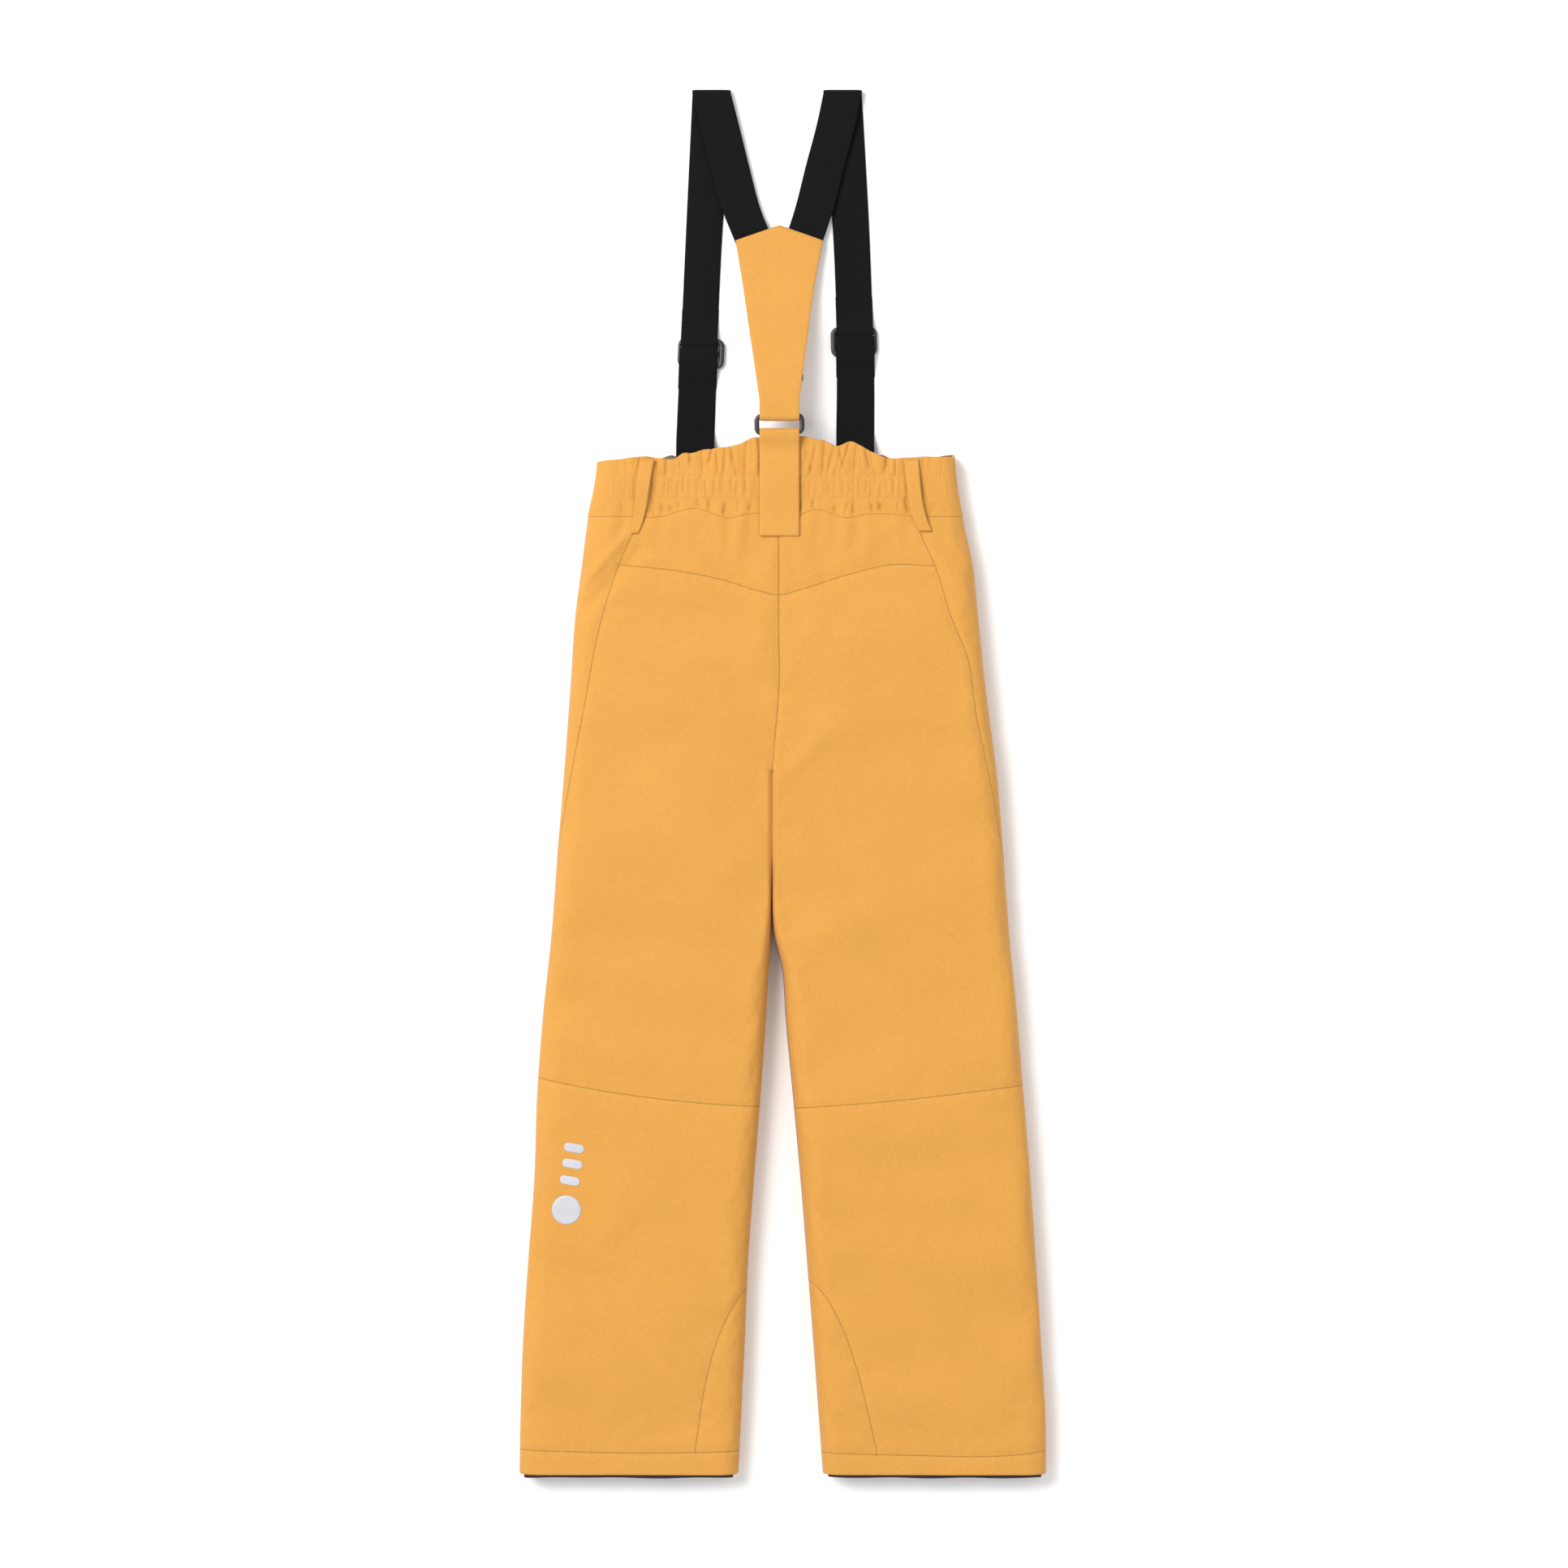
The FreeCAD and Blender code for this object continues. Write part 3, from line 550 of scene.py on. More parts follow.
SLACK = 0.005
AIR_PRESSURE = 0.12
SIMULATED_FRAMES = 26
SIMULATED_SHARE = 0.55
MOST_MOVE = 2.4
COARSE_STEP, COARSE_ACROSS = 6.0, 34
FINE_STEP, FINE_ACROSS = 2.4, 76
LINING_STEP, LINING_ACROSS = 6.0, 40


def crowd_to_ends(count):
    """Positions from 0 to 1, closer together at both ends."""
    part = np.linspace(0, 1, count)
    return 0.55 * part + 0.45 * (0.5 - 0.5 * np.cos(math.pi * part))


def leg_rows(step, last=HEM_Y):
    """Fractions of the way from the waist seam to the crotch, then heights down to the hem."""
    hip = np.linspace(0, 1, int((WAIST_Y - CROTCH_Y) / step) + 1)
    leg = np.linspace(CROTCH_Y, last, int((CROTCH_Y - last) / step) + 1)[1:]
    return hip, leg


def garment_grid(side, inset, step, across):
    """Grid of points round one side: top surface from the centre out, then the bottom back in."""
    hip, leg = leg_rows(step)
    position = crowd_to_ends(across)
    rows = []
    for index in range(len(hip) + len(leg)):
        if index < len(hip):
            straight = np.full(across, WAIST_Y + (CROTCH_Y - WAIST_Y) * hip[index])
            outer, inner = (value[0] for value in side_edges(side, straight[:1]))
            x = inner + (outer - inner) * position
            y = straight + (waist_seam_y(x) - WAIST_Y) * (1 - hip[index]) ** 3
            y_low = straight
        else:
            y = np.full(across, leg[index - len(hip)])
            outer, inner = (value[0] for value in side_edges(side, y[:1]))
            x = inner + (outer - inner) * position
            y_low = y
        if inset and index >= len(hip):
            x = x + (np.sign(outer - inner) * inset) * (1 - 2 * position)
        elif inset:
            x = x - np.sign(outer - inner) * inset * position
        high = top_height(side, x, y, inset)
        low = bottom_height(side, x, y_low, inset)
        top = np.stack([x, y, high], 1)
        bottom = np.stack([x, y_low, low], 1)[::-1]
        rows.append(np.concatenate([top, bottom[1:]]))
    tucked = rows[0].copy()
    tucked[:, 1] += 4.0
    tucked[:, 2] += np.where(tucked[:, 2] > MIDDLE_Z, -2.6, 1.0)
    return np.array([tucked] + rows)


def resample(values, at):
    """Smooth values between the rows of a grid, read at fractional row numbers."""
    slope = np.gradient(values, axis=0)
    row = np.clip(at.astype(int), 0, len(values) - 2)
    shape = (-1,) + (1,) * (values.ndim - 1)
    part = (at - row).reshape(shape)
    part2, part3 = part**2, part**3
    return (
        (2 * part3 - 3 * part2 + 1) * values[row]
        + (part3 - 2 * part2 + part) * slope[row]
        + (3 * part2 - 2 * part3) * values[row + 1]
        + (part3 - part2) * slope[row + 1]
    )


def row_places(step):
    """Where each row of a garment grid lies between the waist seam (0), crotch (1) and hem (2)."""
    hip, leg = leg_rows(step)
    return np.concatenate([[-0.02], hip, 1 + (CROTCH_Y - leg) / (CROTCH_Y - HEM_Y)])


def held_weights(grid):
    """1 where the cloth is held during the simulation: underneath, at its edges, and at sewn-on pieces."""
    x, y, z = np.moveaxis(grid, -1, 0)
    held = np.where(z < MIDDLE_Z + 0.5, 1.0, 0.0)
    held[:, :2] = 1.0
    held = np.maximum(held, step_between(y, 176, 196))
    held = np.maximum(held, step_between(-y, 496, 508))
    held = np.maximum(held, bump(np.hypot((x + 160) / 20, (y + 297) / 40), 1.0))
    distance, _ = nearest_line(SEAMS.values(), x, y)
    return np.clip(np.maximum(held, 0.3 * bump(distance, 4.0)), 0, 1)


def settle(grid):
    """Cloth simulation of slightly loose fabric with a little air under it. Returns how each point moves."""
    rows, columns = grid.shape[:2]
    mesh = bpy.data.meshes.new("settling")
    mesh.from_pydata([tuple(p) for p in grid.reshape(-1, 3) * MM], [], grid_faces(rows, columns))
    item = bpy.data.objects.new("settling", mesh)
    bpy.context.scene.collection.objects.link(item)
    group = item.vertex_groups.new(name="held")
    for index, weight in enumerate(held_weights(grid).ravel()):
        group.add([index], float(weight), "REPLACE")
    cloth = item.modifiers.new("Cloth", "CLOTH")
    cloth.settings.quality = 6
    cloth.settings.mass = 0.2
    cloth.settings.tension_stiffness = 20
    cloth.settings.compression_stiffness = 20
    cloth.settings.shear_stiffness = 12
    cloth.settings.bending_stiffness = 1.0
    cloth.settings.vertex_group_mass = "held"
    cloth.settings.shrink_min = -SLACK
    cloth.settings.use_pressure = True
    cloth.settings.uniform_pressure_force = AIR_PRESSURE
    cloth.settings.effector_weights.gravity = 0.0
    cloth.collision_settings.use_collision = False
    cloth.collision_settings.use_self_collision = False
    cloth.point_cache.frame_end = SIMULATED_FRAMES
    for frame_number in range(1, SIMULATED_FRAMES + 1):
        bpy.context.scene.frame_set(frame_number)
    result = item.evaluated_get(bpy.context.evaluated_depsgraph_get()).to_mesh()
    places = np.empty(len(result.vertices) * 3)
    result.vertices.foreach_get("co", places)
    bpy.data.objects.remove(item)
    bpy.context.scene.frame_set(1)
    return places.reshape(grid.shape) / MM - grid


def settled(side, grid, step, across):
    """Fine grid moved by a simulation of a coarser copy, with its larger moves capped."""
    coarse = garment_grid(side, 0.0, COARSE_STEP, COARSE_ACROSS)
    move = settle(coarse)
    coarse_places = row_places(COARSE_STEP)
    rows = np.interp(row_places(step), coarse_places, np.arange(len(coarse_places)))
    columns = np.linspace(0, 2 * COARSE_ACROSS - 2, 2 * across - 1)
    fine = resample(move, rows)
    fine = np.swapaxes(resample(np.swapaxes(fine, 0, 1), columns), 0, 1)
    return grid + MOST_MOVE * np.tanh(SIMULATED_SHARE * fine / MOST_MOVE)


def hem_turn(grid, inset=3.2, rows=8):
    """Rows that turn the hem under and run a little way back up inside the leg."""
    last = grid[-1]
    centre = last.mean(axis=0)
    extra = []
    for index in range(1, rows + 1):
        angle = min(index / 4, 1) * math.pi / 2
        part = 1 - math.cos(angle) if index < 4 else 1.0
        inward = last.copy()
        direction = centre - last
        direction[:, 1] = 0
        direction[:, 0] = np.clip(direction[:, 0], -12, 12) / 12
        direction[:, 2] = np.clip(direction[:, 2], -6, 6) / 6
        inward += direction * inset * part
        inward[:, 1] += -0.6 * math.sin(angle * 2) + max(index - 4, 0) * 4.0
        extra.append(inward)
    return np.concatenate([grid, np.array(extra)])


def crotch_row_of(step):
    """First grid row from which the cloth goes all round one leg."""
    return int((WAIST_Y - CROTCH_Y) / step) + 1


def make_trousers(material, lining):
    for side in ("left", "right"):
        grid = garment_grid(side, 0.0, FINE_STEP, FINE_ACROSS)
        grid = settled(side, grid, FINE_STEP, FINE_ACROSS)
        turned = hem_turn(grid)
        rows, columns = turned.shape[:2]
        points = turned.reshape(-1, 3)
        faces = grid_faces(rows, columns, crotch_row_of(FINE_STEP))
        item = new_object(f"trouser_shell_{side}", points, faces, material)
        on_back = np.zeros((rows, columns), bool)
        on_back[: len(grid), : columns // 2 + 1] = True
        x, y = turned[..., 0], turned[..., 1]
        on_leg = y < GAP_Y - 60
        cross_seams = [SEAMS[name] for name in CROSS_SEAMS]
        add_sewing(item, "cross", *nearest_line(cross_seams, x, y), on_back | on_leg)
        add_sewing(item, "long", *nearest_line([SEAMS[name] for name in LONG_SEAMS], x, y), on_back | on_leg)
        add_sewing(item, "row", *nearest_line(STITCH_ROWS.values(), x, y), on_back)
        inner_grid = garment_grid(side, LINING_INSET, LINING_STEP, LINING_ACROSS)
        inner = new_object(f"trouser_lining_{side}", inner_grid.reshape(-1, 3),
                           grid_faces(*inner_grid.shape[:2], crotch_row_of(LINING_STEP)), lining)
        for piece in (item, inner):
            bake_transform(piece)
        parts = ("back_panel", "front_panel", "side_panel", "shin_back", "shin_front", "ankle_guard", "hem")
        nodes = [f"{name}_{side}" for name in parts]
        if side == "left":
            nodes.append("back_yoke_panel")
        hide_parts(*nodes)
        lining_nodes = [f"thigh_lining_{side}", f"shin_lining_{side}"]
        if side == "left":
            lining_nodes.append("seat_lining")
        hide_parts(*lining_nodes)


def make_gaiter(side, material):
    """Dark snow gaiter whose edge shows just below the hem."""
    y_rows = [-470.0, -490.0, -505.0, -515.0, -521.0, -522.6, -521.5, -505.0]
    insets = [6.0, 5.6, 5.2, 4.4, 3.6, 4.2, 5.6, 7.0]
    rows = []
    for y_value, inset in zip(y_rows, insets):
        position = crowd_to_ends(60)
        y = np.full(60, y_value)
        outer, inner = (value[0] for value in side_edges(side, y[:1]))
        x = inner + (outer - inner) * position + (np.sign(outer - inner) * inset) * (1 - 2 * position)
        high = top_height(side, x, y, inset)
        low = bottom_height(side, x, y, inset)
        sag = 0.7 * waves(x, y * 0, 60, 21) * (y_value < -500)
        top = np.stack([x, y + sag, high], 1)
        bottom = np.stack([x, y + sag, low], 1)[::-1]
        rows.append(np.concatenate([top, bottom[1:]]))
    grid = np.array(rows)
    item = new_object(f"snow_gaiter_{side}", grid.reshape(-1, 3), grid_faces(*grid.shape[:2]), material,
                      f"lower_leg_{side}")
    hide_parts(f"gaiter_{side}")


# ---------------------------------------------------------------- waistband

# Top edge of the waistband as (x, y): BAND_TOP at the back, FRONT_TOP at the front, underneath.
BAND_TOP = [
    (-150, 242.4), (-140, 242.4), (-124, 243.7), (-102, 245.8), (-90, 243.8), (-82, 244), (-76, 247.4),
    (-68, 249), (-56, 251.2), (-51, 252.9), (-43, 252.8), (-37, 254.1), (-32, 255.9), (-26, 258.9),
    (-18, 260.3), (12, 261), (24, 259), (30, 258), (34, 255.4), (38, 253.8), (45, 255.4), (49, 256.6),
    (54, 256.2), (58, 254.2), (65, 249.2), (70, 247.4), (76, 244.9), (88, 244.2), (100, 245.6),
    (114, 245.5), (129, 245.3), (140, 244.8),
]
FRONT_TOP = [
    (-150, 240), (-104, 242.5), (-92, 246.2), (-85, 248.2), (-78, 245), (0, 244), (64, 245), (73, 248.6),
    (82, 245), (110, 244.5), (118, 247.2), (129, 248.2), (140, 248),
]
ELASTIC_LOW_Y = 214.5
ELASTIC_HIGH_Y = 231.5


def gather_strength(x):
    """Gathers are deep across the middle and fade out towards the side seams."""
    return 0.22 + 0.78 * step_between(x, -124, -92) * step_between(-x, -116, -80)


def creases(x, y, low, high, gap, width, depth, slant, seed):
    """Row of uneven pinched creases that run up and down between two heights."""
    draw = np.random.default_rng(seed)
    total = np.zeros(np.shape(x))
    place = -138.0
    while place < 128:
        place += gap * draw.uniform(0.55, 1.5)
        lean = slant * draw.uniform(-1, 1)
        bottom = low + (high - low) * draw.uniform(-0.1, 0.25)
        top = low + (high - low) * draw.uniform(0.7, 1.15)
        bend = draw.uniform(-1, 1)
        size = depth * draw.uniform(0.5, 1.15)
        part = (y - bottom) / (top - bottom)
        line = place + lean * (y - bottom) + bend * np.sin(math.pi * np.clip(part, 0, 1))
        fade = step_between(part, -0.1, 0.25) * step_between(-part, -1.1, -0.7)
        total -= size * bump(x - line, width * draw.uniform(0.7, 1.3)) * fade
    return total


def gathers(x, y):
    """Gathered band: fine ribs between the stitch rows, looser pinched creases above and below."""
    ribs = creases(x, y, ELASTIC_LOW_Y, ELASTIC_HIGH_Y, 3.9, 1.05, 1.15, 0.08, 41)
    ruffle = creases(x, y, ELASTIC_HIGH_Y, 262, 5.6, 0.9, 2.0, 0.3, 42)
    lower = creases(x, y, 196, ELASTIC_LOW_Y, 8.5, 1.35, 2.2, 0.6, 43)
    puff = 0.9 * waves(x * 2.2, y * 0.5, 30, 44) * step_between(y, ELASTIC_HIGH_Y, ELASTIC_HIGH_Y + 8)
    rows = -0.55 * bump(y - ELASTIC_LOW_Y, 1.3) - 0.55 * bump(y - ELASTIC_HIGH_Y, 1.3)
    lower = lower * step_between(y - waist_seam_y(x), 0.5, 5.0)
    return (ribs + ruffle + lower + puff + rows) * gather_strength(x)


def band_ring(share_up, inset, count):
    """One closed row of the waistband: back from left to right, then front from right to left."""
    position = crowd_to_ends(count)
    straight_y = WAIST_Y + share_up * (246.0 - WAIST_Y)
    left = float(smooth(OUTER_LEFT, straight_y)) + inset
    right = float(smooth(OUTER_RIGHT, straight_y)) - inset
    x = left + (right - left) * position
    low_edge = waist_seam_y(x)
    y = low_edge + share_up * (smooth(BAND_TOP, x) - low_edge)
    y = y + 0.6 * waves(x * 3.0, y * 0, 30, 45) * gather_strength(x) * share_up**4
    edge = edge_round(np.minimum(x - left, right - x), 15.0)
    at_seam = back_height(x, low_edge)
    own = MIDDLE_Z - 1 + (thickness(straight_y) - MIDDLE_Z + 0.9 * math.sin(math.pi * share_up)) * edge
    blend = step_between(share_up, 0, 0.35)
    z = at_seam * (1 - blend) + own * blend - inset * edge
    z = z - 0.9 * bump(y - low_edge, 3.0) * blend * edge
    z = z + gathers(x, y) * edge
    top = np.stack([x, y, z], 1)
    front_y = WAIST_Y + share_up * (smooth(FRONT_TOP, x) - WAIST_Y)
    front_z = MIDDLE_Z - 1 - (MIDDLE_Z - 1.6 - inset) * edge
    bottom = np.stack([x, front_y, front_z], 1)[::-1]
    return np.concatenate([top, bottom[1:-1]])


def make_waistband(material, facing_material):
    count = 320
    outer = [band_ring(share, 0.0, count) for share in np.linspace(0, 1, 44)]
    fold = [band_ring(1.0, inset, count) for inset in (0.5, 1.4, 2.4)]
    for index, ring in enumerate(fold):
        ring[:, 1] += (0.8, 0.9, 0.3)[index]
    grid = np.array(outer + fold)
    faces = grid_faces(*grid.shape[:2], wrap_from=0)
    item = new_object("waistband_shell", grid.reshape(-1, 3), faces, material, "trousers")
    on_back = np.zeros(grid.shape[:2], bool)
    on_back[:, :count] = True
    x, y = grid[..., 0], grid[..., 1]
    add_sewing(item, "cross", waist_seam_y(x) - y, x, on_back)
    middle = (ELASTIC_LOW_Y + ELASTIC_HIGH_Y) / 2
    add_sewing(item, "row", np.abs(y - middle) - (ELASTIC_HIGH_Y - middle), x, on_back)
    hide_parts("waistband_back", "waistband_front", "waist_elastic")
    inner = np.array([band_ring(share, 2.4 + 3.6 * step_between(-share, -1, -0.7), count)
                      for share in np.linspace(1, 0, 14)])
    faces = grid_faces(*inner.shape[:2], wrap_from=0)
    facing = new_object("waistband_facing_cloth", inner.reshape(-1, 3), faces, facing_material, "trousers")
    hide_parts("waistband_facing")


# ---------------------------------------------------------------- straps


def ribbon_points(path, widths, thick, columns=9, across=(1.0, 0.0, 0.0), tip=0.0):
    """Closed strap swept along a path of (x, y, z); thin rounded edges; tip makes a pointed end."""
    path = np.asarray(path, float)
    tangent = np.gradient(path, axis=0)
    tangent /= np.linalg.norm(tangent, axis=1)[:, None]
    across = np.asarray(across, float)
    normal = np.cross(across, tangent)
    normal /= np.linalg.norm(normal, axis=1)[:, None]
    share = np.sin(np.linspace(-math.pi / 2, math.pi / 2, columns))
    share = 0.5 * share + 0.5 * np.linspace(-1, 1, columns)
    half = 0.5 * thick * np.sqrt(np.clip(1 - 0.85 * np.abs(share) ** 10, 0, 1))
    rows = []
    length = np.concatenate([[0], np.cumsum(np.linalg.norm(np.diff(path, axis=0), axis=1))])
    for index, centre in enumerate(path):
        late = (length[index] / length[-1]) ** 6
        point = tip * (1 - np.abs(share)) * late
        line = centre + np.outer(share * widths[index] / 2, across)
        line = line + np.outer(point, tangent[index])
        top = line + np.outer(half, normal[index])
        bottom = line - np.outer(half, normal[index])
        rows.append(np.concatenate([top, bottom[::-1]]))
    return np.array(rows)


def make_ribbon(name, path, widths, thick, material, body=None, **options):
    if np.isscalar(widths):
        widths = [widths] * len(path)
    grid = ribbon_points(path, widths, thick, **options)
    rows, columns = grid.shape[:2]
    faces = grid_faces(rows, columns, wrap_from=0)
    half = columns // 2
    for start in (0, (rows - 1) * columns):
        for column in range(half - 1):
            faces.append((start + column, start + column + 1, start + columns - 2 - column,
                          start + columns - 1 - column))
    return new_object(name, grid.reshape(-1, 3), faces, material, body)


WEBBING_THICK = 1.3
RING_X = -3.4


def half_turn(x, y, z, radius, start, end, count):
    """Points round a bar along X, at even angles from start to end in degrees."""
    points = []
    for angle in np.linspace(start, end, count):
        radians = math.radians(angle)
        points.append((x, y + radius * math.cos(radians), z + radius * math.sin(radians)))
    return points


def points_of(item):
    """X, Y and Z of a piece's points, in millimetres."""
    return np.array([v.co for v in item.data.vertices]).T / MM


FRONT_STRAPS = {
    "left": {"start": (-67.6, 214), "edge": (-67.2, 262), "fold": (-54.8, 522.5),
             "bow": [(300, -65.7), (400, -61.4)],
             "back": [(-49.0, 500), (-41.3, 469), (-31.6, 433), (-24, 414), (-20, 404)]},
    "right": {"start": (54.6, 214), "edge": (53.9, 262), "fold": (44.4, 522.5),
              "bow": [(300, 54.2), (400, 51.7)],
              "back": [(39.6, 500), (31.4, 469), (22.2, 433), (16, 414), (12.5, 404)]},
}


def strap_x(side, y):
    """Middle of the front run, which bows outward a little on its way to the shoulder fold."""
    strap = FRONT_STRAPS[side]
    ends = [strap["edge"][::-1], *strap["bow"], strap["fold"][::-1]]
    return float(smooth(ends, y))


def webbing_path(side):
    strap = FRONT_STRAPS[side]
    (x0, y0), (x1, y1), (x2, y2) = strap["start"], strap["edge"], strap["fold"]
    points = [(x0, y0, 7.2), (x0 + (x1 - x0) * 0.5, (y0 + y1) / 2, 6.6), (x1, y1 - 6, 5.6)]
    rises = ((261, 2.8), (266, 0.95), (274, 0.7), (290, 0.7), (330, 0.7), (380, 0.7), (430, 0.75), (480, 0.8),
             (510, 0.8))
    points += [(strap_x(side, y), y, z) for y, z in rises]
    front = curve(points, 3.5)
    turn = half_turn(x2, y2, 3.25, 2.45, -90, 90, 13)
    back = [(x2, y2, 5.7)] + [(x, y, z) for (x, y), z in zip(strap["back"], (5.2, 4.4, 4.6, 5.6, 6.2))]
    return np.concatenate([front[:-1], np.array(turn[:-1]), curve(back, 3.5)])


def webbing_widths(path):
    """The stretched front run is a little narrower than the fold over the shoulder and the back run."""
    highest = int(path[:, 1].argmax())
    front = smooth([(200, 28.8), (300, 28.4), (345, 27.5), (430, 27.7), (500, 28.8), (526, 29.2)], path[:, 1])
    return [29.2 if index > highest else float(width) for index, width in enumerate(front)]


def make_webbing(side, material):
    path = webbing_path(side)
    widths = webbing_widths(path)
    item = make_ribbon(f"brace_webbing_{side}", path, widths, WEBBING_THICK, material, columns=13)
    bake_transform(item)
    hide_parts(f"webbing_{side}", f"strap_anchor_{side}")


def make_yoke(material):
    """Y shaped back piece: its tail wraps the ring and tucks back to the small slider."""
    bar_y, bar_z, wrap = 276.6, 30.0, 2.7
    under = [(RING_X, y, z) for y, z in ((322, 18.6), (312, 20.8), (300, 24.2), (288, 26.6), (280, 27.3))]
    turn = half_turn(RING_X, bar_y, bar_z, wrap, 270, 90, 11)
    over = [(RING_X, 284, 32.4), (-3.5, 296, 30.6), (-3.6, 312, 27.4), (-3.8, 332, 22.2), (-4.0, 356, 15.6),
            (-4.0, 378, 10.9), (-3.8, 398, 8.6), (-3.6, 411, 8.0)]
    path = np.concatenate([curve(under, 3.0)[:-1], np.array(turn), curve(over, 2.5)[1:]])
    flare = [(290, 30.4), (300, 33), (336, 42.8), (377, 54.2), (411, 66.0)]
    widths = []
    for index, point in enumerate(path):
        if point[1] < 290 or index < len(path) // 3:
            widths.append(30.0)
        else:
            widths.append(float(smooth(flare, point[1])))
    item = make_ribbon("braces_yoke", path, widths, 2.2, material, "braces", columns=33, tip=11.5)
    x, y, z = points_of(item)
    side_edge = np.interp(y, [276, 290, 300, 336, 377, 411], [15, 15.2, 16.5, 21.4, 27.1, 33.0])
    top_edge = 411 + 11.5 * (1 - np.abs(x + 3.6) / 33.0)
    border = np.maximum.reduce([np.abs(x + 3.6) - side_edge + 2.2, 288.4 - y, y - top_edge + 3.0])
    add_sewing(item, "row", border, x + y, (z > 8.2) & (y > 283))
    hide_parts("yoke")


def make_tab(material):
    """Centre tab sewn on the back, looped round the ring's near bar."""
    bar_y, bar_z, wrap = 264.0, 30.0, 2.6
    over = []
    for y in (186.6, 190, 200, 212, 224, 234, 244, 252, 257):
        surface = float(back_height(RING_X, min(y, WAIST_Y)))
        if y > WAIST_Y:
            surface = float(np.interp(y, [WAIST_Y, 224, 240, 252, 257], [surface, 28.6, 27.2, 26.3, 27.9]))
        over.append((RING_X, y, surface + 1.5))
    over.append((RING_X, 261.2, 31.9))
    turn = half_turn(RING_X, bar_y, bar_z, wrap, 90, -90, 11)
    under = [(RING_X, y, z) for y, z in ((262, 27.1), (256, 26.4), (249, 26.0))]
    path = np.concatenate([curve(over, 2.5)[:-1], np.array(turn), curve(under, 2.5)[1:]])
    item = make_ribbon("centre_back_tab", path, 30.0, 1.9, material, "trousers", columns=17)
    x, y, z = points_of(item)
    border = np.maximum(np.abs(x - RING_X) - 13.0, np.abs(y - 223.3) - 34.7)
    add_sewing(item, "row", border, x + y, z > 27.8)
    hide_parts("centre_tab")


def make_belt_loop(side, material):
    if side == "left":
        line = [(-103.2, 244.6), (-104.4, 236), (-106.2, 222), (-107.9, 208), (-110.2, 196), (-112.2, 188.3)]
        widths = [11.0, 10.6, 9.8, 9.0, 7.8, 5.2]
    else:
        line = [(95.6, 244.6), (96.4, 236), (97.6, 222), (99.8, 208), (103.0, 197), (106.4, 190)]
        widths = [11.0, 10.8, 10.4, 10.4, 10.8, 10.2]
    path = []
    for x, y in line:
        surface = float(back_height(x, min(y, WAIST_Y)))
        if y > WAIST_Y:
            surface = float(np.interp(y, [WAIST_Y, 222, 246], [surface, 29.4, 26.2]))
        gap = 1.3 * math.sin(math.pi * min(max((y - 192) / 48, 0), 1))
        path.append((x, y, surface + 0.9 + gap))
    smooth_path = curve(path, 2.2)
    wide = np.interp(smooth_path[:, 1], [p[1] for p in line][::-1], widths[::-1])
    name = f"belt_loop_cloth_{side}"
    item = make_ribbon(name, smooth_path, list(wide), 1.5, material, "trousers", columns=11)
    x, y, z = points_of(item)
    centre = np.interp(y, [p[1] for p in line][::-1], [p[0] for p in line][::-1])
    add_sewing(item, "row", np.abs(x - centre) - 3.4, y, z > 0)
    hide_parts(f"belt_loop_{side}")


def make_fly(material, tape_material):
    """Stitched fly placket on the front, which lies underneath, and the zip's tape inside it."""
    line = curve([(CENTRE_X, 70, 0.6), (CENTRE_X, 130, 0.6), (CENTRE_X, 196, 0.6)], 4.0)
    placket = make_ribbon("fly_placket_cloth", line, 24.0, 1.15, material, "trousers", columns=13)
    x, y, _ = points_of(placket)
    border = np.maximum(np.abs(x + 4) - 9.6, np.abs(y - 133) - 60.6)
    add_sewing(placket, "row", border, x + y, y > 0)
    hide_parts("fly_placket")
    (x0, y0, z0), (x1, y1, z1) = (np.array(corner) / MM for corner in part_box("fly_zip_tape"))
    middle_x, middle_z = (x0 + x1) / 2, (z0 + z1) / 2
    line = curve([(middle_x, y, middle_z) for y in (y0, (y0 + y1) / 2, y1)], 4.0)
    tape = make_ribbon("fly_zip_cloth", line, x1 - x0, z1 - z0, tape_material, "trousers", columns=9)
    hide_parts("fly_zip_tape")


# ---------------------------------------------------------------- hardware


def rounded_frame(half_x, half_y, corner, count=12):
    """Centre line of a rounded rectangle."""
    points = []
    for quadrant, (sx, sy) in enumerate(((1, 1), (-1, 1), (-1, -1), (1, -1))):
        for angle in np.linspace(0, 90, count):
            radians = math.radians(angle + 90 * quadrant)
            points.append((sx * (half_x - corner) + corner * math.cos(radians),
                           sy * (half_y - corner) + corner * math.sin(radians), 0.0))
    return np.array(points)


def sweep_loop(path, wide, tall, ring=14):
    """Closed loop with an oval section; wide may differ at each point."""
    count = len(path)
    wide = np.broadcast_to(wide, count)
    rows = []
    for index in range(count):
        tangent = path[(index + 1) % count] - path[index - 1]
        tangent /= np.linalg.norm(tangent)
        side = np.array([tangent[1], -tangent[0], 0.0])
        angles = np.linspace(0, 2 * math.pi, ring, endpoint=False)
        cosine = np.sign(np.cos(angles)) * np.abs(np.cos(angles)) ** 0.7
        sine = np.sign(np.sin(angles)) * np.abs(np.sin(angles)) ** 0.7
        rows.append(path[index] + np.outer(cosine * wide[index] / 2, side)
                    + np.outer(sine * tall / 2, (0, 0, 1)))
    points = np.array(rows).reshape(-1, 3)
    faces = []
    for row in range(count):
        for column in range(ring):
            after, beside = (row + 1) % count, (column + 1) % ring
            near, far = row * ring, after * ring
            faces.append((near + column, near + beside, far + beside, far + column))
    return points, faces


